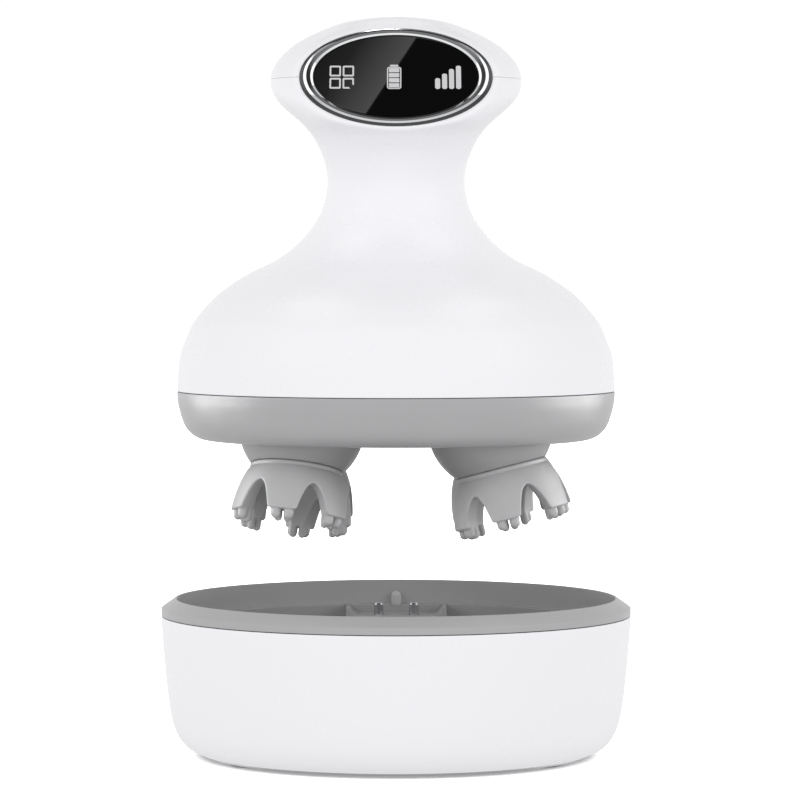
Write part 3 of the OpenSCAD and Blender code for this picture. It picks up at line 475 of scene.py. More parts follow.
def shell(name, outer, inner, cap_out=None, cap_in=None):
    """A closed shell from rings of the outer skin, bottom to top, and rings of the inner one."""
    verts, rings = [], []

    def add(v):
        rings.append(list(range(len(verts), len(verts) + len(v))))
        verts.extend(v.tolist())

    for r in outer:
        add(r)
    if cap_out is not None:
        add(cap_out)
    cut = len(rings)
    for r in inner[::-1]:
        add(r)
    faces = []
    order = list(range(len(rings)))
    if cap_out is not None:
        # outer rings, pole; then inner pole, inner rings going down
        first = rings[:cut]
        second = ([[len(verts)]] if cap_in is not None else []) + rings[cut:]
        if cap_in is not None:
            verts.extend(cap_in.tolist())
        chains = [first, second]
        bridge = (second[-1], first[0])
    else:
        chains = [rings]
        bridge = (rings[-1], rings[0])
    pairs = [(c[i], c[i + 1]) for c in chains for i in range(len(c) - 1)] + [bridge]
    for r, s in pairs:
        for i in range(NA):
            j = (i + 1) % NA
            if len(r) == 1:
                faces.append((r[0], s[j], s[i]))
            elif len(s) == 1:
                faces.append((r[i], r[j], s[0]))
            else:
                faces.append((r[i], r[j], s[j], s[i]))
    return outward(mesh_object(name, verts, faces))


def skin_levels(z0, z1):
    t0, t1 = np.interp([z0, z1], fine[:, 0], t_fine)
    n = int((t1 - t0) / STEP_T)
    t = np.linspace(t0, t1, n)
    out = np.stack([np.interp(t, t_fine, fine[:, c]) for c in range(4)], 1)
    out[0, 0], out[-1, 0] = z0, z1
    return out


def inner_ring(row, slope_a, slope_f, slope_r):
    z, a, f, r = row
    ia, ir = min(4.4, 2 * math.hypot(1, slope_a)), min(4.4, 2 * math.hypot(1, slope_r))
    iff = min(4.4, 2 * math.hypot(1, slope_f))
    c, b = (f + iff + r - ir) / 2, (r - ir - f - iff) / 2
    x, y = (a - ia) * np.cos(ANG), c + b * np.sin(ANG)
    if z > 157:
        y = np.maximum(y, plane_y(z) + 2 / math.cos(LEAN))
    return np.stack([x, y, np.full(NA, z)], 1)


def slopes(rows_):
    z = rows_[:, 0]
    g = np.gradient(rows_[:, 1:], z, axis=0)
    return g


# housing: from the parting line to the head's parting line
hs = skin_levels(93.25, SPLIT)
g = slopes(hs)
outer = [body_ring(93.27, *at_level(93.25), inset=0.35), body_ring(93.30, *at_level(93.3), inset=0.14),
         body_ring(93.42, *at_level(93.4), inset=0.03)]
outer += [body_ring(*row) for row in hs if 93.6 < row[0] < SPLIT - 0.5]
outer += [body_ring(SPLIT - 0.3, *at_level(SPLIT - 0.3)), body_ring(SPLIT - 0.15, *at_level(SPLIT - 0.15), inset=0.015),
          body_ring(SPLIT - 0.05, *at_level(SPLIT - 0.05), inset=0.06), body_ring(SPLIT - 0.02, *at_level(SPLIT), inset=0.12)]
inner = [inner_ring((93.27, *hs[0][1:]), *g[0])]
inner += [inner_ring(hs[i], *g[i]) for i in range(1, len(hs) - 1, 2)] + [inner_ring((SPLIT - 0.02, *hs[-1][1:]), *g[-1])]
housing = shell("white_housing", outer, inner)

# head cap
hc = skin_levels(SPLIT, 188.6)
g = slopes(hc)
outer = [body_ring(SPLIT + 0.02, *at_level(SPLIT), inset=0.12), body_ring(SPLIT + 0.05, *at_level(SPLIT + 0.05), inset=0.06),
         body_ring(SPLIT + 0.15, *at_level(SPLIT + 0.15), inset=0.015), body_ring(SPLIT + 0.3, *at_level(SPLIT + 0.3))]
outer += [body_ring(*row) for row in hc if SPLIT + 0.5 < row[0] and row[1] > 1.7]
top = outer[-1]
inner = [inner_ring((SPLIT + 0.02, *hc[0][1:]), *g[0])] + [inner_ring(hc[i], *g[i]) for i in range(1, len(hc), 2) if hc[i][0] < 184.6]
last = at_level(186.0)
inner.append(inner_ring((186.0, last[0] - 2, last[1], last[2]), 0, 0, 0) * 1.0)
pole_out = np.array([[0.0, top[:, 1].mean(), 188.6]])
pole_in = np.array([[0.0, inner[-1][:, 1].mean(), 186.5]])
cap = shell("white_head_cap", outer, inner, pole_out, pole_in)


def bore_tool():
    return turned("bore", [(0, -9), (22.75, -9), (22.75, 9), (0, 9)], 192, 16.1 / 22.75, chain=True, place=on_display)


boolean(housing, [bore_tool()])
boolean(cap, [bore_tool()])
dress(housing, "massager", M["white_shell"], ("upper_housing",), 38)
dress(cap, "massager", M["white_shell"], ("head_cap",), 38)

# ------------------------------------------------------------------ display

# section of the bezel: how far in from its rim, and how far out of the face
section = [(0.0, -0.7, 0), (0.0, 0.2, 0.1), (1.0, 0.56, 0.05), (1.75, 0.73, 0.05), (2.8, 0.60, 0.05), (3.35, 0.36, 0.04), (3.4, 0.32, 0.02),
           (3.4, -1.25, 0), (4.3, -1.25, 0), (4.3, -3.4, 0), (1.85, -3.4, 0), (1.85, -0.7, 0)]
prof = corners(section, 5)
bezel = turned("chrome_bezel", [(24.3 - o, n) for o, n in prof], 256, chain=False,
               both=[16.68 - 0.716 * min(o, 3.4) - 0.868 * max(o - 3.4, 0) for o, n in prof], place=on_display)
dress(bezel, "massager", M["chrome"], ("display_bezel",), 50)
# the outer slope of the bezel takes the dark chrome copy, a painted dark reflection, and the land inside its crest the
# grey copy, a painted grey reflection
bezel.data.materials.append(M["chrome_dark"])
bezel.data.materials.append(M["chrome_grey"])
top_of = [0.0 if o > 3.5 or n < -0.6 else 1.0 for o, n in prof]
for poly in bezel.data.polygons:
    j = poly.index // 256
    o0, o1 = prof[j][0], prof[(j + 1) % len(prof)][0]
    if top_of[j] and top_of[(j + 1) % len(prof)]:
        m_ = (o0 + o1) / 2
        poly.material_index = 1 if m_ < 0.98 else 2 if 1.76 < m_ < 2.78 else 0

lens_prof = [(0, -1.25), (20.96, -1.25)] + corners([(20.96, -1.25), (20.96, 0.2, 0.0), (20.75, 0.35, 0.15), (20.4, 0.35)], 4, closed=False)[1:] + [(20.2, 0.35), (0, 0.35)]
lens_b = [0 if a == 0 else a - 6.75 for a, n in lens_prof]
lens = turned("black_lens", lens_prof, 224, chain=True, both=lens_b, place=on_display)
dress(lens, "massager", M["lens_black"], ("display_lens",), 40)


def rrect(cx, cy, w, h, r, seg=5):
    """Rounded rectangle as a closed outline."""
    r = min(r, w / 2 - 1e-3, h / 2 - 1e-3)
    out = []
    for qx, qy, a0 in ((1, 1, 0), (-1, 1, 90), (-1, -1, 180), (1, -1, 270)):
        for k in range(seg + 1):
            a = math.radians(a0 + 90 * k / seg)
            out.append((cx + qx * (w / 2 - r) + r * math.cos(a), cy + qy * (h / 2 - r) + r * math.sin(a)))
    return out


icon_v, icon_f = [], []
N0, N1 = 0.352, 0.398


def icon_plate(outline):
    n, b = len(outline), len(icon_v)
    for lev in (N0, N1):
        icon_v.extend((x, y, lev) for x, y in outline)
    icon_f.append(list(range(b, b + n))[::-1])
    icon_f.append(list(range(b + n, b + 2 * n)))
    icon_f.extend((b + i, b + (i + 1) % n, b + n + (i + 1) % n, b + n + i) for i in range(n))


def icon_frame(outer_, inner_):
    n, b = len(outer_), len(icon_v)
    for lev in (N0, N1):
        icon_v.extend((x, y, lev) for x, y in outer_)
        icon_v.extend((x, y, lev) for x, y in inner_)
    o0, i0, o1, i1 = b, b + n, b + 2 * n, b + 3 * n
    for i in range(n):
        j = (i + 1) % n
        icon_f.extend([(o0 + i, o0 + j, o1 + j, o1 + i), (i0 + j, i0 + i, i1 + i, i1 + j),
                       (o1 + i, o1 + j, i1 + j, i1 + i), (o0 + j, o0 + i, i0 + i, i0 + j)])


SQ, SH, ST, SV = 2.85, 3.65, 0.42, 0.55     # width and height of a square, widths of its strokes
cx, cy = -13.6, -0.35
for sx, sy in ((-1, 1), (1, 1), (-1, -1)):
    x, y = cx + sx * (SQ / 2 + 0.22), cy + sy * (SH / 2 + 0.25)
    icon_frame(rrect(x, y, SQ, SH, 0.4), rrect(x, y, SQ - 2 * ST, SH - 2 * SV, 0.12))
x0, x1 = cx + 0.22, cx + 0.22 + SQ
y1, y0 = cy - 0.25, cy - 0.25 - SH
# the fourth square is open at its lower right corner
icon_plate([(x0 + 0.3, y1), (x0 + 0.1, y1 - 0.1), (x0, y1 - 0.35), (x0, y0 + 0.35), (x0 + 0.1, y0 + 0.1), (x0 + 0.3, y0),
            (x1 - 0.95, y0), (x1 - 1.25, y0 + SV), (x0 + ST + 0.08, y0 + SV), (x0 + ST, y0 + SV + 0.08), (x0 + ST, y1 - SV - 0.08),
            (x0 + ST + 0.08, y1 - SV), (x1 - ST - 0.08, y1 - SV), (x1 - ST, y1 - SV - 0.08), (x1 - ST, y0 + 1.45), (x1, y0 + 1.15),
            (x1, y1 - 0.35), (x1 - 0.1, y1 - 0.1), (x1 - 0.3, y1)])
# battery: a filled outline with four bars between thin gaps
bx, by = -0.45, -0.6
BW, BH = 3.6, 7.5
icon_frame(rrect(bx, by, BW, BH, 0.7), rrect(bx, by, BW - 0.62, BH - 0.62, 0.45))
for i in range(4):
    icon_plate(rrect(bx, by - BH / 2 + 1.22 + i * 1.72, BW - 1.0, 1.42, 0.12, 3))
icon_plate(rrect(bx, by + BH / 2 + 0.42, 2.1, 0.62, 0.25))
# strength: four rising bars with round ends
for i, hgt in enumerate((3.65, 5.2, 6.8, 7.9)):
    icon_plate(rrect(10.45 + i * 1.75, -4.35 + hgt / 2, 1.28, hgt, 0.58, 6))
icons = outward(mesh_object("display_symbols", on_display(np.array(icon_v)), icon_f))
dress(icons, "massager", M["icon_light"], ("display_icons",), 30)

# ------------------------------------------------------------------ grey skirt

skirt_curve = spline([(45, 80.8), (48.2, 80.85), (50, 81.15), (51.6, 81.9), (52.9, 83.0), (53.8, 84.2), (54.5, 85.7), (55.2, 88),
                      (55.75, 90.5), (55.93, 92.5)], 6)
outline = [(0, 80.8), (20, 80.8), (38, 80.8)] + skirt_curve
outline += corners([(55.93, 92.5), (55.93, 93.12, 0.28), (55.2, 93.12), (53.5, 93.12)], 5, closed=False)[1:]
outline += [(53.5, 95.0), (52.3, 95.0), (52.3, 88), (51.8, 85.8), (50.6, 84.0), (48.6, 83.0), (30, 83.0), (0, 83.0)]
skirt = turned("grey_skirt", outline, 288, K, chain=True)
HX, HY = 23.6, math.sqrt(19.6 ** 2 - 9.6 ** 2)
HUBS = {"front_left": (-HX, -HY), "front_right": (HX, -HY), "rear_left": (-HX, HY), "rear_right": (HX, HY)}
SCREWS = [(-40, 0), (40, 0), (0, -33), (0, 27)]
tools = []
for x, y in HUBS.values():
    tools.append(turned("hole", [(0, 78), (16.1, 78), (16.1, 80.82), (15.9, 80.95), (15.68, 81.2), (15.6, 81.5), (15.6, 84), (0, 84)], 128,
                        chain=True, place=lambda v, x=x, y=y: v + (x, y, 0)))
for x, y in SCREWS:
    tools.append(turned("recess", [(0, 78), (2.9, 78), (2.9, 80.82), (2.65, 81.05), (2.6, 81.3), (2.6, 83.2), (1.45, 83.2), (1.45, 84), (0, 84)], 40,
                        chain=True, place=lambda v, x=x, y=y: v + (x, y, 0)))
boolean(skirt, tools)
# walls and pocket for the dock's contact shelf
walls = block("walls", (-15.8, 31.8, 81.9), (15.8, 41.4, 86.8))
boolean(skirt, [walls], "UNION")
boolean(skirt, [prism("pocket", corners([(-14.2, 78, 0), (14.2, 78, 0), (14.2, 85.4, 0.6), (-14.2, 85.4, 0.6)], 4), 33.3, 70, "y")])
for s in (-1, 1):
    boolean(skirt, [turned("hole", [(0, 84), (1.7, 84), (1.7, 88), (0, 88)], 32, chain=True, place=lambda v, s=s: v + (s * 4.7, 38, 0))])
boolean(skirt, [turned("groove", [(0, 78), (1.95, 78), (1.95, 87.4), (1.4, 88.3), (0, 88.5)], 40, chain=True, place=lambda v: v + (0, 47.9, 0))])
dress(tidy(skirt), "massager", M["grey_shell"], ("lower_skirt",), 33)

# ------------------------------------------------------------------ hubs

TILT = math.radians(15)


def head_axes(x, y, lean):
    """Origin and axes of a head's tilted part. -z runs down the tilted axis."""
    a = math.radians(lean)
    rz = np.array([[math.cos(a), -math.sin(a), 0], [math.sin(a), math.cos(a), 0], [0, 0, 1]])
    ry = np.array([[math.cos(TILT), 0, -math.sin(TILT)], [0, 1, 0], [math.sin(TILT), 0, math.cos(TILT)]])
    return np.array((x, y, 85.0)), rz @ ry


LEANS = {"left": 244.9, "right": -14.3}
BALL = 15.85
for where, (x, y) in HUBS.items():
    pos, rot = head_axes(x, y, LEANS[where.split("_")[1]])
    arc = [(BALL * math.sin(math.radians(q)), 85 - BALL * math.cos(math.radians(q))) for q in np.linspace(0, 77.6, 60)]
    arc[0] = (0, 85 - BALL)
    prof = arc + [(15.3, 81.75), (15.3, 86.0), (12.6, 86.0), (12.6, 79.6), (5.2, 79.6), (5.2, 86.0), (2.5, 86.0), (2.5, 78.6), (0, 78.6)]
    hub = turned("hub_" + where, prof, 144, chain=True, place=lambda v, x=x, y=y: v + (x, y, 0))
    bm = bmesh.new()
    bm.from_mesh(hub.data)
    down = rot @ np.array((0, 0, -1.0))
    point = (pos + down * 10.75) * 0.001
    res = bmesh.ops.bisect_plane(bm, geom=list(bm.verts) + list(bm.edges) + list(bm.faces), dist=1e-7, plane_co=Vector(point),
                                 plane_no=Vector(down), clear_outer=True)
    edge = [e for e in res["geom_cut"] if isinstance(e, bmesh.types.BMEdge)]
    made = bmesh.ops.edgeloop_fill(bm, edges=edge)
    bmesh.ops.recalc_face_normals(bm, faces=bm.faces)
    rim = [e for f in made["faces"] for e in f.edges]
    bmesh.ops.bevel(bm, geom=rim, offset=0.00028, segments=3, profile=0.5, affect="EDGES")
    bm.to_mesh(hub.data)
    bm.free()
    dress(hub, "head_" + where, M["grey_hub"], ("hub_" + where,), 30)

# ------------------------------------------------------------------ claws, from a distance field with soft joins


def smax(a, b, k):
    h = np.maximum(k - np.abs(a - b), 0) / k
    return np.maximum(a, b) + h * h * k / 4


def smin(a, b, k):
    return -smax(-a, -b, k)


bell = np.array([(11.45, 10.8), (11.68, 11.1), (11.74, 11.5), (11.62, 11.78), (11.78, 12.05), (12.1, 12.5), (12.55, 13.4), (12.98, 14.4),
                 (13.6, 16.2), (14.1, 18.2), (14.5, 20.2), (14.8, 22.2), (14.95, 23.6)])
bell[5:, 0] += 0.35 * (bell[5:, 1] - 12) / 11.6
bell = np.array(spline(bell, 8))
hollow = np.array(spline([(6.0, 13.3), (8.2, 13.75), (9.3, 14.6), (10.1, 16.5), (10.6, 20.0), (10.85, 23.8)], 8))
NUB = 2.4


def claw_field(p):
    x, y, s = p[:, 0], p[:, 1], -p[:, 2]
    r = np.hypot(x, y)
    out = (r - np.interp(s, bell[:, 1], bell[:, 0])) * 0.965
    d = smax(out, 10.8 - s, 0.35)
    # hollow under the dome
    hol = np.maximum(r - np.interp(s, hollow[:, 1], hollow[:, 0]), 13.4 - s)
    d = smax(d, -hol, 0.9)
    # arches between the legs, in one sixth of the turn
    th = np.arctan2(y, x)
    six = math.pi / 3
    fold = (th + six / 2) % six - six / 2              # angle from the middle of the nearest leg
    arch = np.abs(fold) - six / 2                       # angle from the middle of the nearest arch
    u = np.abs(r * np.sin(arch))
    c2 = 1.52 ** 2
    a = (u * u / c2 - (s - 16.3)) / np.sqrt(1 + 4 * u * u / c2 ** 2)
    d = smax(d, -a, 0.5)
    d = smax(d, s - 23.6, 0.5)
    d = np.maximum(d, 1.6 - r)
    # nubs
    lx, ly = r * np.cos(fold), r * np.sin(fold)
    for rad, off, rr, end in ((13.45, 6.8, 1.27, 23.6 + NUB), (11.9, 5.6, 1.0, 23.6 + NUB + 0.45)):
        cx_, cy_ = rad * math.cos(math.radians(off)), rad * math.sin(math.radians(off))
        along_ = np.maximum(s - (end - rr), 0) + np.maximum(22.6 - s, 0)
        n_ = np.sqrt((lx - cx_) ** 2 + (np.abs(ly) - cy_) ** 2 + along_ ** 2) - rr
        d = smin(d, n_, 0.16)
    return d


def surface(field, lo, hi, h, push=4):
    """Closed mesh of a field's zero level by surface nets, with each point then moved onto the level."""
    lo, hi = np.array(lo, float), np.array(hi, float)
    n = np.ceil((hi - lo) / h).astype(int) + 1
    ax = [lo[i] + h * np.arange(n[i]) for i in range(3)]
    grid = np.stack(np.meshgrid(*ax, indexing="ij"), -1).reshape(-1, 3)
    val = field(grid).reshape(n)
    s = val < 0
    cor = [(i, j, k) for i in (0, 1) for j in (0, 1) for k in (0, 1)]
    c = [s[i:n[0] - 1 + i, j:n[1] - 1 + j, k:n[2] - 1 + k] for i, j, k in cor]
    act = np.logical_or.reduce(c) & ~np.logical_and.reduce(c)
    idx = np.full(act.shape, -1)
    idx[act] = np.arange(act.sum())
    cells = np.argwhere(act)
    acc, cnt = np.zeros((len(cells), 3)), np.zeros(len(cells))
    for a in cor:
        for axis in range(3):
            if a[axis] == 1:
                continue
            b = list(a)
            b[axis] = 1
            va = val[tuple((cells + a).T)]
            vb = val[tuple((cells + b).T)]
            m = (va < 0) != (vb < 0)
            t = va[m] / (va[m] - vb[m])
            pos = np.array(a, float) + np.outer(t, np.array(b) - np.array(a))
            acc[m] += pos
            cnt[m] += 1
    v = lo + h * (cells + acc / cnt[:, None])
    faces = []
    for axis, (p, q) in enumerate(((1, 2), (2, 0), (0, 1))):
        sl0 = [slice(None)] * 3
        sl1 = [slice(None)] * 3
        sl0[axis], sl1[axis] = slice(0, -1), slice(1, None)
        s0, s1 = s[tuple(sl0)], s[tuple(sl1)]
        e = np.argwhere(s0 != s1)
        e = e[(e[:, p] > 0) & (e[:, q] > 0) & (e[:, p] < n[p] - 1) & (e[:, q] < n[q] - 1)]
        dp, dq = np.zeros(3, int), np.zeros(3, int)
        dp[p], dq[q] = 1, 1
        quad = np.stack([idx[tuple((e - dp - dq).T)], idx[tuple((e - dq).T)], idx[tuple(e.T)], idx[tuple((e - dp).T)]], 1)
        flip = ~s0[tuple(e.T)]
        quad[flip] = quad[flip][:, ::-1]
        faces.append(quad)
    faces = np.concatenate(faces)
    eps = 0.03
    for _ in range(push):
        f0 = field(v)
        gr = np.stack([(field(v + np.eye(3)[i] * eps) - field(v - np.eye(3)[i] * eps)) / (2 * eps) for i in range(3)], 1)
        g2 = np.maximum((gr ** 2).sum(1), 0.2)
        v = v - 0.8 * np.clip(f0 / g2, -h * 0.5, h * 0.5)[:, None] * gr
    return v, faces


def open_edges(f):
    """How many edges do not have exactly two faces."""
    e = np.sort(np.concatenate([f[:, [0, 1]], f[:, [1, 2]], f[:, [2, 3]], f[:, [3, 0]]]), axis=1)
    return int((np.unique(e[:, 0].astype(np.int64) * 10 ** 7 + e[:, 1], return_counts=True)[1] != 2).sum())


# the grid is nudged until no cell is cut twice, so that the mesh is closed and clean
for nudge in (0.0, 0.11, 0.05, 0.17, 0.08, 0.14):
    claw_v, claw_f = surface(claw_field, (-16.6 - nudge, -16.6 - nudge * 0.7, -27.0 - nudge * 0.6), (16.6, 16.6, -10.3),
                             0.29)
    if open_edges(claw_f) == 0:
        break
for where, (x, y) in HUBS.items():
    lean = LEANS[where.split("_")[1]]
    pos, rot = head_axes(x, y, lean)
    a = math.radians(-98 - lean)
    spin = np.array([[math.cos(a), -math.sin(a), 0], [math.sin(a), math.cos(a), 0], [0, 0, 1]])
    v = claw_v @ (rot @ spin).T + pos
    claw = mesh_object("claw_soft_" + where, v, claw_f)
    dress(claw, "head_" + where, M["silicone"], ("claw_" + where,), 60)

# ------------------------------------------------------------------ dock

shell_curve = spline([(50.9, 1.2), (53.8, 2.7), (56.0, 5.5), (57.3, 9.0), (58.2, 13.8), (58.9, 19.9), (59.45, 26), (59.85, 31), (60.1, 35.2)], 8)
outline = shell_curve + corners([(60.1, 35.2), (60.1, 35.86, 0.22), (59.6, 35.86), (58.2, 35.86)], 4, closed=False)[1:]
outline += [(57.95, 31), (57.45, 26), (56.9, 19.9), (56.2, 13.8), (55.3, 9.0), (54.0, 5.5), (51.8, 2.7), (48.9, 1.2)]
dock_shell = turned("dock_white_shell", outline, 320, K)
pill = [(-2.9 + 2.0 * math.cos(a), 20.4 + 2.0 * math.sin(a)) for a in np.linspace(math.pi / 2, 1.5 * math.pi, 17)]
pill += [(2.9 + 2.0 * math.cos(a), 20.4 + 2.0 * math.sin(a)) for a in np.linspace(-math.pi / 2, math.pi / 2, 17)]
boolean(dock_shell, [prism("pill", pill, 44, 60, "y")])
dress(tidy(dock_shell), "dock", M["white_shell"], ("dock_outer_shell",), 35)

bowl = spline([(0.0, 4.4), (20, 4.4), (36, 4.45), (41, 5.2), (45.5, 6.8), (49.6, 9.2), (52.2, 12.2), (53.4, 15.5), (53.8, 19.0), (53.8, 24), (53.7, 33.4)], 7)
rim = corners([(53.7, 33.4), (53.7, 34.0, 0.25), (55.4, 34.0, 0.35), (55.75, 37.0, 0), (56.1, 40.2, 0.12), (56.6, 40.3, 0.2), (60.1, 37.8, 0.3), (60.1, 36.1, 0.16),
               (59.6, 36.0, 0), (57.3, 36.0, 0)], 5, closed=False)[1:]
outer_w = [(57.3, 33.2), (55.5, 31.2), (55.4, 19), (55.1, 15.4), (53.9, 11.4), (51.0, 7.8), (46.2, 5.1), (41.3, 3.5), (36, 2.9), (0, 2.9)]
bowl[0] = (0.0, 4.4)
tray = turned("dock_grey_tray", bowl + rim + outer_w, 320, K, chain=True)
inner_solid = [(0.0, 3.6), (36, 3.6), (45.8, 6.0), (50.4, 9.0), (53.2, 12.6), (54.3, 16), (54.6, 19), (54.6, 34.0), (0, 34.0)]


def in_bowl(ob):
    return boolean(ob, [turned("limit", inner_solid, 192, K, chain=True)], "INTERSECT")


shelf_y0, shelf_z = 34.0, 31.9
shelf = prism("shelf", corners([(-13.35, 20.2, 0.5), (13.35, 20.2, 0.5), (13.35, 31.9, 0), (13.35, 34.3, 0.3), (12.65, 34.3, 0.4), (10.9, 31.9, 2.6),
                                (-10.9, 31.9, 2.6), (-12.65, 34.3, 0.4), (-13.35, 34.3, 0.3), (-13.35, 31.9, 0)], 7), shelf_y0, 54, "y")
# soften the shelf's front edge
bm = bmesh.new()
bm.from_mesh(shelf.data)
front = [e for e in bm.edges if all(abs(v.co.y - shelf_y0 * 0.001) < 1e-6 for v in e.verts)]
bmesh.ops.bevel(bm, geom=front, offset=0.0008, segments=4, profile=0.5, affect="EDGES", clamp_overlap=True)
bm.to_mesh(shelf.data)
bm.free()
column = block("column", (-10, 35.5, 3.2), (10, 53.5, 21), 0.4)
boolean(tray, [in_bowl(outward(shelf))], "UNION")
boolean(tray, [in_bowl(column)], "UNION")
boolean(tray, [block("hollow", (-8.6, 35.4, 21.8), (8.6, 55.4, 29.9)), block("hollow2", (-8.6, 37.1, 2.0), (8.6, 57.1, 22.5))])
for s in (-1, 1):
    boolean(tray, [turned("hole", [(0, 28), (1.45, 28), (1.45, 31.6), (1.85, 32.2), (1.85, 36), (0, 36)], 40, chain=True, place=lambda v, s=s: v + (s * 4.7, 38.0, 0))])
dress(tidy(tray), "dock", M["grey_tray"], ("dock_tray",), 33)

# the light guide shows as a small rounded rib on the rear wall
arc = np.linspace(0, math.pi / 2, 9)
guide_prof = [(1.4 * math.sin(q), 34.3 - 1.4 * math.cos(q)) for q in arc] + [(1.4 * math.cos(q), 36.0 + 1.4 * math.sin(q)) for q in arc]
guide_prof[0], guide_prof[-1] = (0, 32.9), (0, 37.4)
guide = turned("light_guide_rib", guide_prof, 48, chain=True, place=lambda v: v + (0, 47.5, 0))
dress(guide, "dock", M["light_pipe"], ("dock_light_guide",), 60)

# the two pin springs, each wound from one wire


def spring(name, x, y, z0, z1, rad, wire, turns, per=22, seg=8):
    n = turns * per
    verts, faces = [], []
    for i in range(n + 1):
        q = 2 * math.pi * i / per
        end = min(1.0, i / per, (n - i) / per)              # closed end turns
        z = z0 + wire + (z1 - z0 - 2 * wire) * min(max((i - per * 0.5) / (n - per), 0.0), 1.0)
        c = np.array((x + rad * math.cos(q), y + rad * math.sin(q), z))
        out_ = np.array((math.cos(q), math.sin(q), 0.0))
        for j in range(seg):
            w = 2 * math.pi * j / seg
            verts.append(c + wire * (math.cos(w) * out_ + math.sin(w) * np.array((0, 0, 1.0))))
    for i in range(n):
        for j in range(seg):
            k = (j + 1) % seg
            faces.append((i * seg + j, i * seg + k, (i + 1) * seg + k, (i + 1) * seg + j))
    faces += [tuple(range(seg)), tuple(n * seg + j for j in range(seg))]
    return outward(mesh_object(name, verts, faces))


for side, sx in (("left", -1), ("right", 1)):
    coil = spring("pin_spring_" + side, sx * 4.7, 38.0, 24.05, 26.7, 1.3, 0.15, 5)
    dress(coil, "dock", M["steel"], ("dock_pin_springs",), 60)
    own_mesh(coil)

# ------------------------------------------------------------------ floor, lights, camera

fm = bpy.data.materials.new("floor_white")
fm.use_nodes = True
fb = fm.node_tree.nodes["Principled BSDF"]
fb.inputs["Base Color"].default_value = (0.95, 0.95, 0.95, 1)
fb.inputs["Roughness"].default_value = 0.9
fb.inputs["Specular IOR Level"].default_value = 0.1
fb.inputs["Emission Color"].default_value = (1, 1, 1, 1)
fb.inputs["Emission Strength"].default_value = 0.05
tcn = fm.node_tree.nodes.new("ShaderNodeTexCoord")
nz = fm.node_tree.nodes.new("ShaderNodeTexNoise")
nz.inputs["Scale"].default_value = 40
bp = fm.node_tree.nodes.new("ShaderNodeBump")
bp.inputs["Strength"].default_value = 0.02
fm.node_tree.links.new(tcn.outputs["Object"], nz.inputs["Vector"])
fm.node_tree.links.new(nz.outputs["Fac"], bp.inputs["Height"])
fm.node_tree.links.new(bp.outputs["Normal"], fb.inputs["Normal"])

# the floor is a wide disc
nf = 96
fv = [(0, 0, 0)] + [(9000 * math.cos(2 * math.pi * i / nf), 9000 * math.sin(2 * math.pi * i / nf), 0) for i in range(nf)]
floor = mesh_object("floor", fv, [(0, 1 + i, 1 + (i + 1) % nf) for i in range(nf)])
floor.data.materials.append(fm)
floor.visible_glossy = False
floor.visible_diffuse = False

world = bpy.data.worlds.new("studio")
bpy.context.scene.world = world
world.use_nodes = True
wn, wl = world.node_tree.nodes, world.node_tree.links
bg = wn["Background"]
tc = wn.new("ShaderNodeTexCoord")
sep = wn.new("ShaderNodeSeparateXYZ")
ramp = wn.new("ShaderNodeValToRGB")
mr = wn.new("ShaderNodeMapRange")
mr.inputs["From Min"].default_value = -1
mr.inputs["From Max"].default_value = 1
wl.new(tc.outputs["Generated"], sep.inputs["Vector"])
wl.new(sep.outputs["Z"], mr.inputs["Value"])
wl.new(mr.outputs["Result"], ramp.inputs["Fac"])
wl.new(ramp.outputs["Color"], bg.inputs["Color"])
bg.inputs["Strength"].default_value = 1.0
el = ramp.color_ramp.elements
stops = [(-1.0, 0.86), (-0.25, 0.88), (-0.03, 1.03), (0.03, 1.03), (0.3, 1.0), (0.62, 0.95), (0.85, 0.66), (1.0, 0.28)]
el[0].position, el[1].position = 0.0, 1.0
el[0].color, el[1].color = (*[stops[0][1]] * 3, 1), (*[stops[-1][1]] * 3, 1)
for z, b in stops[1:-1]:
    e = el.new((z + 1) / 2)
    e.color = (b, b, b, 1)


def area(name, loc, target, size, power, size_y=None, glossy=True, colour=(1, 1, 1)):
    d = bpy.data.lights.new(name, "AREA")
    d.energy = power
    d.color = colour
    d.size = size
    if size_y:
        d.shape = "RECTANGLE"
        d.size_y = size_y
    ob = bpy.data.objects.new(name, d)
    bpy.context.scene.collection.objects.link(ob)
    ob.location = loc
    ob.rotation_euler = (Vector(target) - Vector(loc)).to_track_quat("-Z", "Y").to_euler()
    ob.visible_camera = False
    ob.visible_glossy = glossy
    return ob


area("key_left", (-1.1, -1.0, 0.9), (0, 0, 0.1), 0.9, 5.0, glossy=False)
area("fill_right", (1.2, -0.9, 0.7), (0, 0, 0.1), 0.9, 4.0, glossy=False)

# this light reaches only the floor, so that it burns out to white as in a studio sweep
sun = bpy.data.lights.new("floor_light", "SUN")
sun.energy = 6.0
sun.angle = math.radians(140)
flood = bpy.data.objects.new("floor_light", sun)
bpy.context.scene.collection.objects.link(flood)
flood.visible_glossy = False
only = bpy.data.collections.new("floor_only")
only.objects.link(floor)
flood.light_linking.receiver_collection = only

# soft boxes at the sides that only the grey plastic mirrors
greys = bpy.data.collections.new("grey_plastic")
for ob in bpy.data.objects:
    if ob.type == "MESH" and ob.data.materials and ob.data.materials[0] in (M["grey_shell"], M["grey_hub"], M["silicone"]):
        greys.objects.link(ob)
for side in (-1, 1):
    box = area("side_box", (side * 1.0, 0.15, 0.25), (0, 0, 0.1), 0.9, 16.0)
    box.visible_diffuse = False
    box.light_linking.receiver_collection = greys


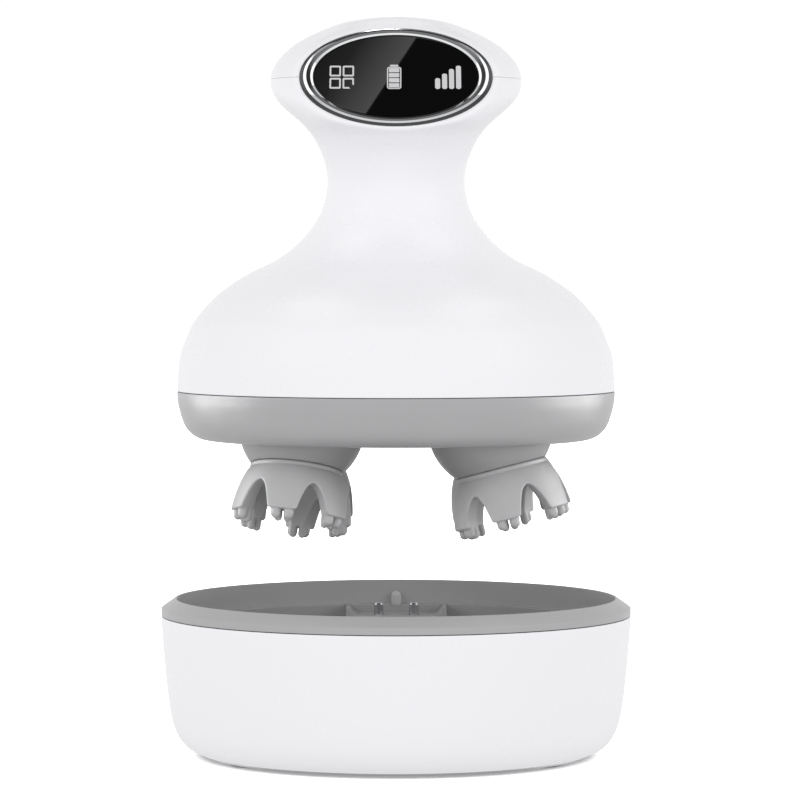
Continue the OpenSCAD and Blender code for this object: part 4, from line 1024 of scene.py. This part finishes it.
def reflected(px, py, level):
    """Where the lens mirrors a point of the camera's view, at a level in metres. px and py are in an 800 x 800 view."""
    tip = math.radians(2.40877)
    fwd, up = np.array((0, math.cos(tip), -math.sin(tip))), np.array((0, math.sin(tip), math.cos(tip)))
    f = 160.30 / 36 * 800
    d = fwd + (px - 400) / f * np.array((1.0, 0, 0)) + (400 - py) / f * up
    c = np.array((0.0010133, -0.9098319, 0.1291019))
    q = (DISP + 0.35 * DN) * 0.001
    hit = c + d * ((q - c) @ DN) / (d @ DN)
    r = d - 2 * (d @ DN) * DN
    return hit + r * (level - hit[2]) / r[2]


def card(name, lo_, hi_, place, glow):
    """A flat card that only mirror-like surfaces see."""
    ob = mesh_object(name, [(lo_[0] * 1000, lo_[1] * 1000, 0), (hi_[0] * 1000, lo_[1] * 1000, 0), (hi_[0] * 1000, hi_[1] * 1000, 0),
                            (lo_[0] * 1000, hi_[1] * 1000, 0)], [(0, 1, 2, 3)])
    ob.matrix_world = place
    m = bpy.data.materials.new(name)
    m.use_nodes = True
    nd, ln = m.node_tree.nodes, m.node_tree.links
    nd.remove(nd["Principled BSDF"])
    em = nd.new("ShaderNodeEmission")
    ln.new(em.outputs["Emission"], nd["Material Output"].inputs["Surface"])
    co = nd.new("ShaderNodeTexCoord")
    sp = nd.new("ShaderNodeSeparateXYZ")
    ln.new(co.outputs["Object"], sp.inputs["Vector"])
    last = None
    for x0_, x1_, v0_, v1_ in glow:
        mp = nd.new("ShaderNodeMapRange")
        for key, val in (("From Min", x0_), ("From Max", x1_), ("To Min", v0_), ("To Max", v1_)):
            mp.inputs[key].default_value = val
        ln.new(sp.outputs["X"], mp.inputs["Value"])
        if last is not None:
            mu = nd.new("ShaderNodeMath")
            mu.operation = "MULTIPLY"
            ln.new(last, mu.inputs[0])
            ln.new(mp.outputs["Result"], mu.inputs[1])
            last = mu.outputs["Value"]
        else:
            last = mp.outputs["Result"]
    ln.new(last, em.inputs["Strength"])
    ob.data.materials.append(m)
    ob.visible_camera = ob.visible_diffuse = ob.visible_shadow = ob.visible_transmission = ob.visible_volume_scatter = False
    return ob


# a dark card over the display, with a lit side whose edge the lens mirrors as a slanting line
LEVEL = 1.2
pa, pb = reflected(416.7, 36.6, LEVEL), reflected(365.0, 114.6, LEVEL)
along = (pb - pa) / np.linalg.norm(pb - pa)
lit = np.array((-abs(along[1]), math.copysign(abs(along[0]), -along[0] * along[1] * -1.0), 0.0))
lit = lit - along * (lit @ along)
lit = lit / np.linalg.norm(lit)
mid = (pa + pb) / 2
zc = np.cross(lit, along)
place = Matrix([(lit[0], along[0], zc[0], mid[0]), (lit[1], along[1], zc[1], mid[1]), (lit[2], along[2], zc[2], mid[2]), (0, 0, 0, 1)])
card("card_over_display", (-0.17, -0.17), (0.17, 0.17), place,
     [(-0.0004, 0.0004, 0.03, 1.0), (0.0, 0.024, 1.4, 0.30), (0.024, 0.05, 1.0, 0.25)])
card("card_behind", (-0.36, -0.22), (0.36, 0.22), Matrix.Translation((0, 0.58, LEVEL)), [(-0.36, 0.36, 0.03, 0.03)])
card("card_in_front", (-0.3, -0.13), (0.3, 0.13), Matrix.Translation((0, -0.54, LEVEL)), [(-0.3, 0.3, 0.38, 0.38)])
for sx in (-1, 1):
    card("card_side", (-0.22, -0.35), (0.22, 0.35), Matrix.Translation((sx * 0.53, -0.05, LEVEL)), [(-0.22, 0.22, 1.35, 1.35)])
# a small bright box behind the display, for the spark on the upper edge of the bezel
spark = area("spark", (-0.061, 1.22, 1.34), (0, -0.012, 0.1725), 0.16, 1.7)
spark.visible_diffuse = False
bright = bpy.data.collections.new("bezel_only")
bright.objects.link(bezel)
spark.light_linking.receiver_collection = bright

cam = bpy.data.cameras.new("camera")
cam.lens = 160.30
cam.sensor_width = 36.0
cam.clip_start, cam.clip_end = 0.05, 50
camera = bpy.data.objects.new("camera", cam)
bpy.context.scene.collection.objects.link(camera)
camera.location = (0.0010133, -0.9098319, 0.1291019)
camera.rotation_euler = (math.radians(90 - 2.40877), 0, 0)
bpy.context.scene.camera = camera
bpy.context.scene.view_settings.view_transform = "Standard"
bpy.context.scene.view_settings.look = "None"
bpy.context.scene.view_settings.exposure = 0.0
